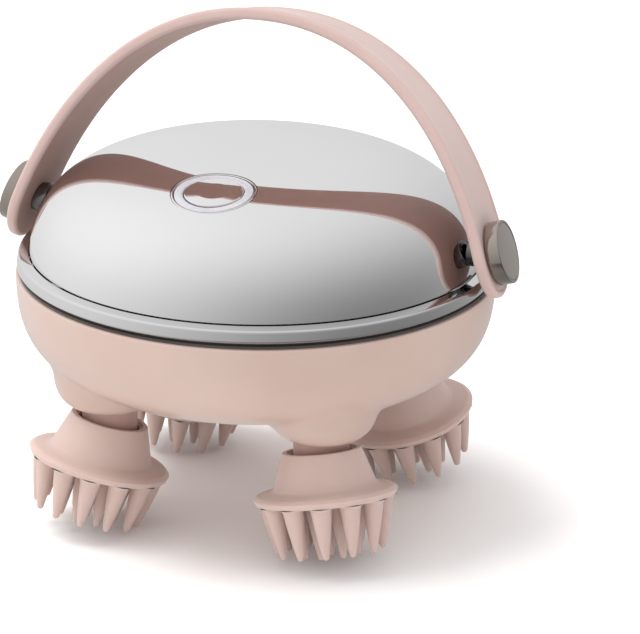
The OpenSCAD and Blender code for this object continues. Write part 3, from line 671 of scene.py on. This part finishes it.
@dataclass
class LowerHousing:
    """The bowl and the four lobes that blend out of its underside."""

    levels: Levels
    body_r: float = 53.0
    depth: float = 29.0
    widest: float = 3.2
    power: float = 3.5
    top: float = -0.5
    wall: float = 2.2
    lobe_r: float = 12.4
    lobe_power: float = 3.4
    lobe_height: float = 12.0
    blend: float = 2.2
    socket_z: float = -9.3
    socket_r: float = 3.55
    segments: int = 288
    steps: int = 84

    @property
    def bowl(self) -> Superellipse:
        """The bowl's outer face, upside down."""
        return Superellipse(self.body_r, self.depth, self.power, self.power)

    def height_at(self, r: float) -> float:
        """Height of the bowl's outer face at distance r from the middle."""
        return self.widest - self.bowl.height_at(r)

    def settle(self, spot: Vector) -> Vector:
        """Moves a point up or down onto the bowl's underside."""
        return Vector((spot.x, spot.y, self.height_at(math.hypot(spot.x, spot.y))))

    def settle_side(self, spot: Vector) -> Vector:
        """Moves a point sideways onto the bowl's side."""
        drop = (self.widest - spot.z) / self.depth
        reach = self.body_r * (1 - drop ** self.power) ** (1 / self.power)
        return Vector((spot.x, math.sqrt(reach ** 2 - spot.x ** 2), spot.z))

    def outline(self) -> Profile:
        """Outline from inside the rim, over it and down to the middle of the underside."""
        rim_depth = 0.4
        lip_depth = 3.0
        rim_gap = 0.02
        arc = [(r, self.widest - z) for r, z in self.bowl.arc(self.steps)]
        side = [(r, z) for r, z in arc if z < self.top - rim_depth]
        inner_r = self.body_r - self.wall
        rim_r = self.body_r - rim_gap
        rim = [(rim_r - inward, self.top - down)
               for inward, down in ((0.45, 0.0), (0.12, 0.1), (0.0, 0.32))]
        return [(inner_r, self.top - lip_depth), (inner_r, self.top)] + rim + side

    def lobe_column(self, centre: Vector, goal: Vector) -> list[Vector]:
        """Points down one side of a lobe, from its edge on the bowl to its bottom.

        Args:
            centre: The lobe's axis on the plan.
            goal: Point on the bowl where the blend ends.

        Returns:
            Points from the goal to the middle of the lobe's underside.
        """
        flat = Vector((goal.x - centre.x, goal.y - centre.y, 0))
        reach = flat.length
        out = flat / reach
        side = Superellipse(self.lobe_r, self.lobe_height, self.lobe_power, self.lobe_power)
        arc_steps = 60
        arc = [(r, LOBE_BOTTOM + self.lobe_height - z) for r, z in side.arc(arc_steps)]
        gaps = []
        for r, z in arc:
            spot = centre + out * r
            gaps.append(self.height_at(math.hypot(spot.x, spot.y)) - z)
        first = next(index for index, gap in enumerate(gaps) if gap > 0)
        start = first
        run = 0.0
        while run < self.blend and start < len(arc) - 2:
            run += math.dist(arc[start], arc[start + 1])
            start += 1
        lobe_end = Vector(arc[start])
        lobe_way = (Vector(arc[start - 1]) - lobe_end).normalized()
        bowl_end = Vector((reach, goal.z))
        inner_reach = reach - 0.2
        inner = centre + out * inner_reach
        inner_end = Vector((inner_reach, self.height_at(math.hypot(inner.x, inner.y))))
        bowl_way = (inner_end - bowl_end).normalized()
        handle_share = 0.42
        span = (lobe_end - bowl_end).length * handle_share
        handles = [bowl_end, bowl_end + bowl_way * span, lobe_end + lobe_way * span, lobe_end]
        column: list[Vector] = []
        blend_steps = 10
        for step in range(blend_steps):
            t = step / blend_steps
            spot = (handles[0] * (1 - t) ** 3 + handles[1] * 3 * t * (1 - t) ** 2
                    + handles[2] * 3 * t * t * (1 - t) + handles[3] * t ** 3)
            column.append(centre + out * spot.x + Vector((0, 0, spot.y)))
        lobe_steps = 26
        for step in range(lobe_steps + 1):
            place = start + (len(arc) - 1 - start) * step / lobe_steps
            low = min(int(place), len(arc) - 2)
            spot = Vector(arc[low]).lerp(Vector(arc[low + 1]), place - low)
            column.append(centre + out * spot.x + Vector((0, 0, spot.y)))
        return column

    def add_lobe(self, bm: bmesh.types.BMesh, angle: float) -> None:
        """Opens the bowl over a lobe and grows the lobe from the edge of the opening.

        Args:
            bm: Mesh of the bowl.
            angle: Direction of the lobe from the middle, in degrees.
        """
        centre = Vector((SHAFT_CIRCLE_R * math.cos(math.radians(angle)),
                         SHAFT_CIRCLE_R * math.sin(math.radians(angle)), 0))
        blend_share = 0.75
        edge_r = self.lobe_r + self.blend * blend_share
        ring = open_hole(bm, centre, Vector((0, 0, -1)), edge_r, self.settle,
                         reach=40.0, wall=0.0)
        ring = [vert for vert in ring if vert.is_valid and vert.is_boundary]
        ring.sort(key=lambda vert: math.atan2(vert.co.y - centre.y, vert.co.x - centre.x))
        columns = []
        for vert in ring:
            points = self.lobe_column(centre, vert.co.copy())
            columns.append([vert] + [bm.verts.new(point) for point in points[1:-1]])
        tip = bm.verts.new(centre + Vector((0, 0, LOBE_BOTTOM)))
        for here, there in zip(columns, columns[1:] + columns[:1]):
            for row in range(len(here) - 1):
                bm.faces.new((here[row], there[row], there[row + 1], here[row + 1]))
            bm.faces.new((here[-1], there[-1], tip))

    def build(self, dresser: Dresser) -> None:
        """Builds the housing and dresses it."""
        bm = bmesh.new()
        lathe(bm, self.outline(), self.segments, Matrix.Identity(4))
        for angle in SHAFT_ANGLES:
            self.add_lobe(bm, angle)
        open_hole(bm, Vector((0, self.body_r, self.socket_z)), Vector((0, 1, 0)),
                  self.socket_r, self.settle_side, reach=12.0, wall=2.0)
        bmesh.ops.translate(bm, vec=(0, 0, self.levels.seam), verts=bm.verts)
        piece = close_mesh(bm, "bowl_with_lobes")
        dresser.dress(piece, SHELL, "lower_housing", "housing")


# --- Dome, trim ring and button ----------------------------------------------


@dataclass
class DomeAssembly:
    """The mirror dome and the trim ring that holds it."""

    levels: Levels
    seam_r: float = 52.8
    crease_r: float = 50.0
    crease_z: float = 4.0
    base_z: float = 1.61
    curve: Superellipse = Superellipse(50.05, 24.85, 3.27, 2.44)
    button_offset: float = 26.1
    button_hole_r: float = 9.34
    segments: int = 320
    steps: int = 150

    def height_at(self, r: float) -> float:
        """Height of the dome's face at distance r from the middle."""
        return self.base_z + self.curve.height_at(r)

    def slope_at_button(self) -> float:
        """Slope of the dome's face at the button, in radians."""
        step = 0.01
        rise = (self.height_at(self.button_offset - step)
                - self.height_at(self.button_offset + step))
        return math.atan(rise / (2 * step))

    def button_place(self) -> Matrix:
        """Matrix from the button's own frame to the seam's frame."""
        spot = Vector((0, -self.button_offset, self.height_at(self.button_offset)))
        return Matrix.Translation(spot) @ Matrix.Rotation(self.slope_at_button(), 4, "X")

    def settle(self, spot: Vector) -> Vector:
        """Moves a point up or down onto the dome."""
        return Vector((spot.x, spot.y, self.height_at(math.hypot(spot.x, spot.y))))

    def drape(self, piece: bpy.types.Object) -> None:
        """Bends a flat ring round the button down onto the dome's curve."""
        place = self.button_place()
        axis = place.to_3x3() @ Vector((0, 0, 1))
        for vert in piece.data.vertices:
            spot = vert.co / MM
            flat = Vector((spot.x, spot.y, 0)) - place.translation
            plane = -(flat.x * axis.x + flat.y * axis.y) / axis.z + place.translation.z
            vert.co.z += (self.height_at(math.hypot(spot.x, spot.y)) - plane) * MM

    def build_dome(self, dresser: Dresser) -> None:
        """Builds the dome with the button's hole, its foot rolled in over the trim ring."""
        foot_round, foot_drop, foot_steps = 0.45, 0.1, 6
        tuck_in, tuck_down = 0.9, 1.2
        foot: Profile = [(self.crease_r - tuck_in, self.crease_z - tuck_down)]
        for step in range(foot_steps):
            turn = math.pi / 2 * step / foot_steps
            foot.append((self.crease_r - foot_round * (1 - math.sin(turn)),
                         self.crease_z + foot_round * (1 - math.cos(turn)) - foot_drop))
        rim_z = self.crease_z + foot_round - foot_drop
        arc = [(r, self.base_z + z) for r, z in self.curve.arc(self.steps)
               if self.base_z + z > rim_z]
        bm = bmesh.new()
        lathe(bm, foot + arc, self.segments, Matrix.Identity(4))
        place = self.button_place()
        axis = (place.to_3x3() @ Vector((0, 0, 1))).normalized()
        open_hole(bm, place.translation.copy(), axis, self.button_hole_r, self.settle,
                  reach=6.0, wall=1.6)
        bmesh.ops.translate(bm, vec=(0, 0, self.levels.seam), verts=bm.verts)
        piece = close_mesh(bm, "mirror_dome", POLISHED_SHARP_ANGLE)
        dresser.dress(piece, MIRROR, "dome_cover", "housing")

    def build_trim(self, dresser: Dresser) -> None:
        """Builds the trim ring: a nearly upright face under a narrow ledge, rolled under below."""
        skirt_r = self.seam_r - 2.3
        skirt_wall, skirt_foot = 1.1, -3.0
        belly_r, belly_z = self.seam_r + 0.02, 1.15
        ledge_r, ledge_z = self.seam_r - 0.3, 3.45
        lip_r, lip_drop = self.crease_r + 0.16, 0.5
        outline = rounded_outline([
            (skirt_r - skirt_wall, skirt_foot, 0), (skirt_r, skirt_foot, 0), (skirt_r, 0.0, 0),
            (self.seam_r - 1.0, 0.0, 0.1), (belly_r, belly_z, 0.5), (ledge_r, ledge_z, 0.7),
            (lip_r, self.crease_z, 0.2),
            (self.crease_r + 0.06, self.crease_z - lip_drop, 0)], steps=8)
        piece = lathe_piece("bright_trim_ring", outline, self.levels.at_seam(), self.segments,
                            POLISHED_SHARP_ANGLE)
        dresser.dress(piece, TRIM_CHROME, "trim_ring", "housing")

    def build(self, dresser: Dresser) -> None:
        """Builds both pieces."""
        self.build_dome(dresser)
        self.build_trim(dresser)


@dataclass
class PowerButton:
    """The button, the light ring round it and the bezel round both."""

    levels: Levels
    dome: DomeAssembly
    button_r: float = 6.45
    ring_inner_r: float = 6.6
    ring_r: float = 8.62
    bezel_inner_r: float = 8.74
    bezel_r: float = 9.2
    ring_depth: float = 2.4
    sunk: float = 0.28
    segments: int = 144

    def build(self, dresser: Dresser) -> None:
        """Builds the three pieces."""
        place = self.dome.button_place()
        bottom = -self.ring_depth
        bezel_foot = bottom - 0.6
        bezel_top = 0.06
        bezel = rounded_outline([
            (self.bezel_inner_r, bezel_foot, 0), (self.bezel_r, bezel_foot, 0.1),
            (self.bezel_r, bezel_top, 0.2), (self.bezel_inner_r, bezel_top, 0.2),
            (self.bezel_inner_r, bezel_foot, 0)])
        surround = lathe_piece("button_surround", bezel, place, self.segments)
        inner_edge, inner_face, outer_face = -0.3, -0.08, -0.02
        ring = rounded_outline([
            (self.ring_inner_r, bottom, 0), (self.ring_inner_r, inner_edge, 0.2),
            (self.ring_inner_r + 0.4, inner_face, 0.5), (self.ring_r - 0.1, outer_face, 0.3),
            (self.ring_r, bottom, 0), (self.ring_inner_r, bottom, 0)])
        milky = lathe_piece("milky_ring", ring, place, self.segments)
        for piece in (surround, milky):
            self.dome.drape(piece)
            piece.data.transform(Matrix.Translation((0, 0, self.levels.seam * MM)))
        dresser.dress(surround, MIRROR, "button_bezel", "housing")
        dresser.dress(milky, LIGHT_GUIDE, "light_ring", "housing")
        stop_r = self.button_r + 0.3
        stop_top, stop_foot = bottom - 0.3, bottom - 1.1
        crown, shoulder, edge = 0.3 - self.sunk, 0.22 - self.sunk, -0.02 - self.sunk
        cap = rounded_outline([
            (0, crown, 0), (self.button_r * 0.55, shoulder, 4.0),
            (self.button_r - 0.02, edge, 0.3),
            (self.button_r, stop_top, 0.05), (stop_r, stop_top, 0.05),
            (stop_r, stop_foot, 0.05), (0, stop_foot, 0)], steps=8)
        button = lathe_piece("mirror_button_cap", cap, self.levels.at_seam() @ place,
                             self.segments)
        dresser.dress(button, MIRROR, "power_button", "button")


# --- Strap, studs and spacers ------------------------------------------------


@dataclass
class StrapHandle:
    """The arched strap with raised edges, and the studs that carry it."""

    levels: Levels
    span_r: float = 55.1
    rise: float = 47.5
    drop: float = 39.0
    power: float = 2.1
    width: float = 18.8
    thickness: float = 2.6
    lean: float = 13.5
    margin: float = 1.25
    recess: float = 0.3
    stud_r: float = 7.0
    stud_t: float = 3.3
    spacer_r: float = 3.2

    def place(self) -> Matrix:
        """Matrix from the strap's upright frame to its leaning place on the pivots."""
        lean = Matrix.Rotation(math.radians(-self.lean), 4, "X")
        return Matrix.Translation((0, 0, self.levels.pivot)) @ lean

    def axes(self, inset: float) -> tuple[float, float]:
        """Half width and height of the arch's curve, inset from the outer face."""
        height = self.rise + self.drop
        half_width = self.span_r / (1 - (self.drop / height) ** self.power) ** (1 / self.power)
        return half_width - inset, height - inset

    def angle_at(self, inset: float, height: float) -> float:
        """Angle on the arch's curve at a height above the pivots."""
        return math.asin(((self.drop + height) / self.axes(inset)[1]) ** (self.power / 2))

    def arch(self, inset: float, angle: float) -> tuple[Vector, Vector]:
        """Point and outward normal of the right half of the arch.

        Args:
            inset: Depth below the strap's outer face.
            angle: Angle on the curve, a right angle at the top.

        Returns:
            The point, measured from the pivots, and the unit normal.
        """
        half_width, height = self.axes(inset)
        across = max(0.0, math.cos(angle))
        spot = Vector((half_width * across ** (2 / self.power), 0,
                       height * math.sin(angle) ** (2 / self.power) - self.drop))
        bend = 2 - 2 / self.power
        normal = Vector((across ** bend / half_width, 0, math.sin(angle) ** bend / height))
        return spot, normal.normalized()

    def section(self) -> list[tuple[float, float]]:
        """Distance from the edge and height of each point across half the strap.

        Returns:
            Points from the outer face's middle, round the edge, to the inner face's middle.
        """
        top = self.thickness / 2
        end_r = self.width / 2
        floor = top - self.recess
        midway = end_r * 0.6
        points = [(end_r, floor), (midway, floor)]
        points += [(self.margin + inward, height) for inward, height in
                   ((0.35, floor), (0.12, floor + 0.05), (-0.08, top - 0.07), (-0.25, top))]
        edge_round, edge_steps = 0.9, 5
        for step in range(1, edge_steps + 1):
            angle = math.pi / 2 * step / edge_steps
            points.append((edge_round * (1 - math.sin(angle)),
                           top - edge_round * (1 - math.cos(angle))))
        for step in range(edge_steps):
            angle = math.pi / 2 * step / edge_steps
            points.append((edge_round * (1 - math.cos(angle)),
                           -top + edge_round * (1 - math.sin(angle))))
        return points + [(edge_round, -top), (midway, -top), (end_r, -top)]

    def build_strap(self, dresser: Dresser) -> None:
        """Builds the strap as a long pill shape wrapped round the arch, its inner face given a
        darker copy of the silicone as painted shade.
        """
        middle = self.thickness / 2
        end_r = self.width / 2
        section = self.section()
        inner_limit = -middle + 0.01
        pivot_angle = self.angle_at(middle, 0.0)
        arch_steps, end_steps = 96, 20
        stations = [(pivot_angle + (math.pi / 2 - pivot_angle) * step / arch_steps, 0.0)
                    for step in range(arch_steps, -1, -1)]
        stations += [(pivot_angle, end_r * math.sin(math.pi / 2 * step / end_steps))
                     for step in range(1, end_steps + 1)]
        levels = [level for _, level in section + section[::-1]]
        bm = bmesh.new()
        rows: list[list[bmesh.types.BMVert]] = []
        for side, half_stations in ((-1, stations[:0:-1]), (1, stations)):
            for station, past in half_stations:
                row = []
                for half, points in ((1, section), (-1, section[::-1])):
                    for offset, level in points:
                        radius = end_r - offset
                        below = min(past, radius)
                        across = math.sqrt(max(0.0, radius ** 2 - below ** 2))
                        angle = self.angle_at(middle, -below) if past > 0 else station
                        spot, normal = self.arch(middle, angle)
                        spot += normal * level
                        row.append(bm.verts.new((side * spot.x, half * across, spot.z)))
                rows.append(row)
        for here, there in zip(rows, rows[1:]):
            for index in range(len(here)):
                after = (index + 1) % len(here)
                face = bm.faces.new((here[index], here[after], there[after], there[index]))
                # Faces on the inner side take the second material, the darker painted-shade copy of
                # the silicone.
                face.material_index = int(max(levels[index], levels[after]) < inner_limit)
        end_weld, shortest_edge = 0.002, 0.0005
        bmesh.ops.remove_doubles(bm, verts=bm.verts, dist=end_weld)
        bmesh.ops.dissolve_degenerate(bm, edges=bm.edges, dist=shortest_edge)
        bmesh.ops.transform(bm, matrix=self.place(), verts=bm.verts)
        piece = close_mesh(bm, "arched_strap", SOFT_SHARP_ANGLE)
        dresser.dress(piece, STRAP_SILICONE, "strap", "handle")
        # Second material: the darker copy of the silicone that paints shade on the inner face.
        piece.data.materials.append(dresser.finish(STRAP_INSIDE_PAINTED_SHADE))

    def build_studs(self, dresser: Dresser) -> None:
        """Builds both studs and both spacers, which lean and turn with the strap."""
        seat, normal = self.arch(self.recess, self.angle_at(self.recess, 0.0))
        tilt = math.atan2(normal.z, normal.x)
        rim = self.stud_r
        disc_face, groove_floor, land = self.stud_t - 0.1, self.stud_t - 0.32, self.stud_t - 0.02
        head = rounded_outline([
            (0, disc_face, 0), (rim - 0.78, disc_face, 0.06), (rim - 0.66, groove_floor, 0.05),
            (rim - 0.54, land, 0.1), (rim, land, 0.38), (rim, 0.3, 0.25), (rim - 0.7, 0.0, 0.1),
            (0, 0, 0)], steps=6)
        lift = Matrix.Translation((0, 0, 0.05))
        shank_r = 2.0
        seat_x, length = 49.3, 4.2
        collar = rounded_outline([
            (shank_r, 0, 0), (self.spacer_r, 0, 0.2), (self.spacer_r, length, 0),
            (shank_r, length, 0)])
        for name, side in (("right", 1), ("left", -1)):
            turn = Matrix.Rotation(side * (math.pi / 2 - tilt), 4, "Y")
            spot = Matrix.Translation((side * seat.x, 0, seat.z)) @ turn
            piece = lathe_piece(name + "_stud_disc", head, self.place() @ spot @ lift,
                                sharp_angle=POLISHED_SHARP_ANGLE)
            dresser.dress(piece, GUNMETAL, name + "_stud", "handle")
            turn = Matrix.Rotation(side * math.pi / 2, 4, "Y")
            spot = Matrix.Translation((side * seat_x, 0, 0)) @ turn
            piece = lathe_piece(name + "_spacer_collar", collar, self.place() @ spot,
                                segments=64)
            # The spacer's dark finish is partly painted shade for the gap it sits in.
            dresser.dress(piece, SPACER_STEEL_PAINTED_SHADE, name + "_spacer", "handle")

    def build(self, dresser: Dresser) -> None:
        """Builds the strap, the studs and the spacers."""
        self.build_strap(dresser)
        self.build_studs(dresser)


# --- Massage heads -----------------------------------------------------------


@dataclass
class MassageHead:
    """One silicone head with its tines, and the neck that it turns on."""

    levels: Levels
    number: int
    tilt: float = 15.0
    drop: float = 30.8
    collar_r: float = 8.6
    collar_wall: float = 1.1
    flange_r: float = 15.8
    length: float = 10.9
    outer_tines: int = 12
    inner_tines: int = 8
    tine_root_r: float = 2.3
    tine_tip_r: float = 0.75
    tine_len: float = 11.6
    brim_drop: float = 1.3
    tine_inset: float = 1.15
    tine_lean: float = 5.4
    ring_gap: float = 5.6
    inner_extra: float = 0.7
    neck_r: float = 6.1
    neck_reach: float = 2.5

    def shaft_place(self) -> Matrix:
        """Matrix of the output shaft's frame, at the height of the seam."""
        turn = Matrix.Rotation(math.radians(SHAFT_ANGLES[self.number - 1]), 4, "Z")
        return self.levels.at_seam() @ turn @ Matrix.Translation((SHAFT_CIRCLE_R, 0, 0))

    def head_place(self) -> Matrix:
        """Matrix of the head's own frame, where -Z runs down the head's axis."""
        lean = Matrix.Rotation(math.radians(-self.tilt), 4, "Y")
        return self.shaft_place() @ Matrix.Translation((0, 0, -self.drop)) @ lean

    def cup_outline(self) -> Profile:
        """Outline of the cup, from inside the collar, over it and under the flange."""
        inner_r = self.collar_r - self.collar_wall
        lip_r = inner_r - 0.35
        lip_top, cup_floor = -0.6, -5.6
        cone_r = self.flange_r - 4.4
        cone_z = -(self.length - 2.7)
        under = -self.length
        brim_z = under + self.brim_drop
        return rounded_outline([
            (lip_r, cup_floor, 0), (lip_r, lip_top, 0.15), (inner_r, lip_top - 0.02, 0.08),
            (inner_r, 0.0, 0.3), (self.collar_r, 0.0, 0.35), (cone_r, cone_z, 1.6),
            (cone_r + 1.1, cone_z - 0.35, 0.9), (self.flange_r - 0.9, brim_z + 0.75, 0.9),
            (self.flange_r, brim_z, 0.25), (self.flange_r - 0.55, under + 0.1, 0.3),
            (self.flange_r - 2.0, under, 0), (0, under, 0)], steps=6)

    def tine_outline(self, length: float) -> Profile:
        """Outline of a tine from its root to its rounded tip."""
        tip = self.tine_tip_r
        fillet = ((0.75, 0.25), (0.4, -0.02), (0.16, -0.28))
        outline: Profile = [(self.tine_root_r + out, z) for out, z in fillet]
        straight_top, straight_steps = 0.5, 7
        bulge = 0.12
        for step in range(straight_steps + 1):
            t = step / straight_steps
            r = self.tine_root_r + (tip - self.tine_root_r) * t + bulge * math.sin(math.pi * t)
            outline.append((r, -straight_top - (length - tip - straight_top) * t))
        tip_steps = 5
        for step in range(1, tip_steps + 1):
            angle = math.pi / 2 * step / tip_steps
            outline.append((tip * math.cos(angle), -(length - tip) - tip * math.sin(angle)))
        return outline

    def add_tines(self, bm: bmesh.types.BMesh, count: int, ring_r: float, length: float,
                  lean: float) -> None:
        """Adds a ring of tines under the flange.

        Args:
            bm: Mesh of the head.
            count: Number of tines.
            ring_r: Radius of the ring at the roots.
            length: Length of a tine.
            lean: Lean towards the head's axis, in degrees.
        """
        outline = self.tine_outline(length)
        for step in range(count):
            turn = Matrix.Rotation(math.pi + math.tau * step / count, 4, "Z")
            stand = Matrix.Translation((ring_r, 0, -self.length))
            tip = Matrix.Rotation(math.radians(lean), 4, "Y")
            lathe(bm, outline, segments=20, place=self.head_place() @ turn @ stand @ tip)

    def build_head(self, dresser: Dresser, body: str) -> None:
        """Builds the cup, its flange and its tines as one moulding."""
        bm = bmesh.new()
        lathe(bm, self.cup_outline(), segments=96, place=self.head_place())
        outer_r = self.flange_r - self.tine_root_r - self.tine_inset
        inner_len = self.tine_len + self.inner_extra
        self.add_tines(bm, self.outer_tines, outer_r, self.tine_len, self.tine_lean)
        self.add_tines(bm, self.inner_tines, outer_r - self.ring_gap, inner_len,
                       self.tine_lean / 2)
        self.add_tines(bm, 1, 0.0, inner_len, 0.0)
        piece = close_mesh(bm, f"kneading_head_{self.number}", SOFT_SHARP_ANGLE)
        dresser.dress(piece, HEAD_SILICONE, f"massage_head_{self.number}", body)

    def build_neck(self, dresser: Dresser) -> None:
        """Builds the neck between the lobe and the cup."""
        bottom = -self.drop - self.neck_reach
        bore_r, bore_lift, foot_r = 2.6, 1.2, 3.8
        outline = rounded_outline([
            (bore_r, bottom + bore_lift, 0), (foot_r, bottom, 0.3), (self.neck_r, bottom, 0.4),
            (self.neck_r, LOBE_BOTTOM - 0.4, 0), (self.neck_r, LOBE_BOTTOM + 2.4, 0)])
        piece = lathe_piece(f"neck_tube_{self.number}", outline, self.shaft_place(),
                            segments=80)
        dresser.dress(piece, NECK_SILICONE, f"neck_sleeve_{self.number}", "housing")

    def build(self, dresser: Dresser) -> None:
        """Builds the head and its neck."""
        self.build_head(dresser, f"output_{self.number}")
        self.build_neck(dresser)


# --- Studio ------------------------------------------------------------------


@dataclass
class Sky:
    """Light levels that change with the direction, in the world's node tree."""

    tree: bpy.types.NodeTree
    way: bpy.types.NodeSocket = field(init=False)
    path: bpy.types.Node = field(init=False)

    def __post_init__(self) -> None:
        """Adds the direction and the kind of ray."""
        self.way = add_node(self.tree, "ShaderNodeTexCoord", {}).outputs["Generated"]
        self.path = add_node(self.tree, "ShaderNodeLightPath", {})

    def along(self, direction: tuple[float, float, float]) -> bpy.types.NodeSocket:
        """Returns how far the view points along a direction, 1 straight along it."""
        values = {0: self.way, 1: direction}
        return add_node(self.tree, "ShaderNodeVectorMath", values, "DOT_PRODUCT").outputs["Value"]

    def gradient(self, direction: tuple[float, float, float], middle: float,
                 swing: float) -> bpy.types.NodeSocket:
        """Light level that grows along a direction.

        Args:
            direction: Unit direction of the bright side.
            middle: Level square to it.
            swing: Rise towards it.

        Returns:
            The level's socket.
        """
        values = {0: self.along(direction), 1: swing, 2: middle}
        return add_node(self.tree, "ShaderNodeMath", values, "MULTIPLY_ADD").outputs["Value"]

    def fade(self, source: bpy.types.NodeSocket, start: float, end: float) -> bpy.types.NodeSocket:
        """Returns 0 up to a start, 1 from an end and a smooth rise between them."""
        node = add_node(self.tree, "ShaderNodeMapRange",
                        {"Value": source, "From Min": start, "From Max": end})
        node.interpolation_type = "SMOOTHSTEP"
        return node.outputs["Result"]

    def low_in_front(self) -> bpy.types.NodeSocket:
        """Returns 1 low in front, which only metal that faces down mirrors."""
        low = self.fade(self.along((0.0, 0.0, 1.0)), start=-0.37, end=-0.44)
        front = self.fade(self.along((0.5, -0.87, 0.0)), start=0.55, end=0.85)
        both = add_node(self.tree, "ShaderNodeMath", {0: low, 1: front}, "MULTIPLY")
        return both.outputs["Value"]

    def choose(self, switch: bpy.types.NodeSocket, off: bpy.types.NodeSocket,
               on: bpy.types.NodeSocket | float) -> bpy.types.NodeSocket:
        """Mixes two levels by a switch of 0 or 1."""
        return add_node(self.tree, "ShaderNodeMix", {0: switch, 2: off, 3: on}).outputs[0]


@dataclass
class Studio:
    """Floor, surroundings, lamp and camera."""

    levels: Levels
    frame_width_px: float = 640.0
    focal_px: float = 4000.0
    sensor_mm: float = 36.0
    azimuth: float = 19.7
    elevation: float = 19.76
    roll: float = 0.83
    distance: float = 883.24
    seam_right_px: float = -63.74
    seam_down_px: float = -51.31
    floor_size: float = 12.0
    lamp_way: tuple[float, float, float] = (-0.35, -0.08, 0.93)
    lamp_energy: float = 1.6
    lamp_angle: float = 32.0

    def build_floor(self) -> None:
        """Lays the pale floor."""
        half = self.floor_size / 2
        bm = bmesh.new()
        corners = [bm.verts.new((x, y, 0)) for x, y in
                   ((-half, -half), (half, -half), (half, half), (-half, half))]
        bm.faces.new(corners)
        mesh = bpy.data.meshes.new("floor")
        bm.to_mesh(mesh)
        bm.free()
        floor = bpy.data.objects.new("floor", mesh)
        bpy.context.scene.collection.objects.link(floor)
        surface = Surface("white_floor")
        mottle = surface.effect(Effect.MOTTLE, Scale=3.0)
        surface.tint(mottle.outputs["Mask"], (252, 251, 251), (254, 254, 254))
        surface.settle(Roughness=0.9, Specular_IOR_Level=0.0)
        mesh.materials.append(surface.material)
        floor.visible_glossy = False

    def build_world(self) -> None:
        """Sets the surroundings: white behind the object, soft gradients for light and metal."""
        world = bpy.data.worlds.new("studio")
        bpy.context.scene.world = world
        world.use_nodes = True
        sky = Sky(world.node_tree)
        mirrored = sky.gradient((-0.78, 0.095, 0.62), middle=0.64, swing=0.42)
        dark_level = 0.08
        mirrored = sky.choose(sky.low_in_front(), mirrored, dark_level)
        lighting = sky.gradient((-0.8, -0.1, 0.59), middle=0.885, swing=0.36)
        level = sky.choose(sky.path.outputs["Is Glossy Ray"], lighting, mirrored)
        for ray in ("Is Camera Ray", "Is Transmission Ray"):
            level = sky.choose(sky.path.outputs[ray], level, 1.0)
        background = sky.tree.nodes["Background"]
        sky.tree.links.new(level, background.inputs["Strength"])
        background.inputs["Color"].default_value = (1.0, 1.0, 1.0, 1.0)

    def build_lamp(self) -> None:
        """Adds one broad soft lamp, high on the left."""
        light = bpy.data.lights.new("soft_key", "SUN")
        light.energy = self.lamp_energy
        light.angle = math.radians(self.lamp_angle)
        lamp = bpy.data.objects.new("soft_key", light)
        lamp.rotation_euler = Vector(self.lamp_way).to_track_quat("Z", "Y").to_euler()
        lamp.visible_glossy = False
        bpy.context.scene.collection.objects.link(lamp)

    def build_camera(self) -> None:
        """Places the camera where the photograph was taken from."""
        a, e, roll = (math.radians(v) for v in (self.azimuth, self.elevation, self.roll))
        forward = Vector((-math.sin(a) * math.cos(e), math.cos(a) * math.cos(e), -math.sin(e)))
        level_right = Vector((math.cos(a), math.sin(a), 0))
        level_up = level_right.cross(forward)
        right = level_right * math.cos(roll) + level_up * math.sin(roll)
        up = level_up * math.cos(roll) - level_right * math.sin(roll)
        per_px = self.distance / self.focal_px
        spot = (Vector((0, 0, self.levels.seam)) - forward * self.distance
                - right * self.seam_right_px * per_px + up * self.seam_down_px * per_px)
        camera = bpy.data.cameras.new("camera")
        camera.sensor_width = self.sensor_mm
        camera.lens = self.sensor_mm * self.focal_px / self.frame_width_px
        camera.clip_end = 50.0
        view = bpy.data.objects.new("camera", camera)
        turn = Matrix((right, up, -forward)).transposed().to_4x4()
        view.matrix_world = Matrix.Translation(spot * MM) @ turn
        bpy.context.scene.collection.objects.link(view)
        bpy.context.scene.camera = view

    def build(self) -> None:
        """Builds the whole studio."""
        self.build_floor()
        self.build_world()
        self.build_lamp()
        self.build_camera()
        bpy.context.scene.view_settings.view_transform = "Standard"


def main() -> None:
    """Builds the sub-assemblies in order and dresses the nodes that stay."""
    logging.basicConfig(level=logging.INFO, format="%(name)s: %(message)s")
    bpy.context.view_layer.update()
    levels = Levels.from_frame()
    dresser = Dresser()
    LowerHousing(levels).build(dresser)
    dome = DomeAssembly(levels)
    dome.build(dresser)
    PowerButton(levels, dome).build(dresser)
    StrapHandle(levels).build(dresser)
    for number in range(1, 5):
        MassageHead(levels, number).build(dresser)
    for finish, nodes in NODE_FINISHES.items():
        for node in nodes:
            dresser.repaint(node, finish)
    Studio(levels).build()


if __name__ == "__main__":
    main()
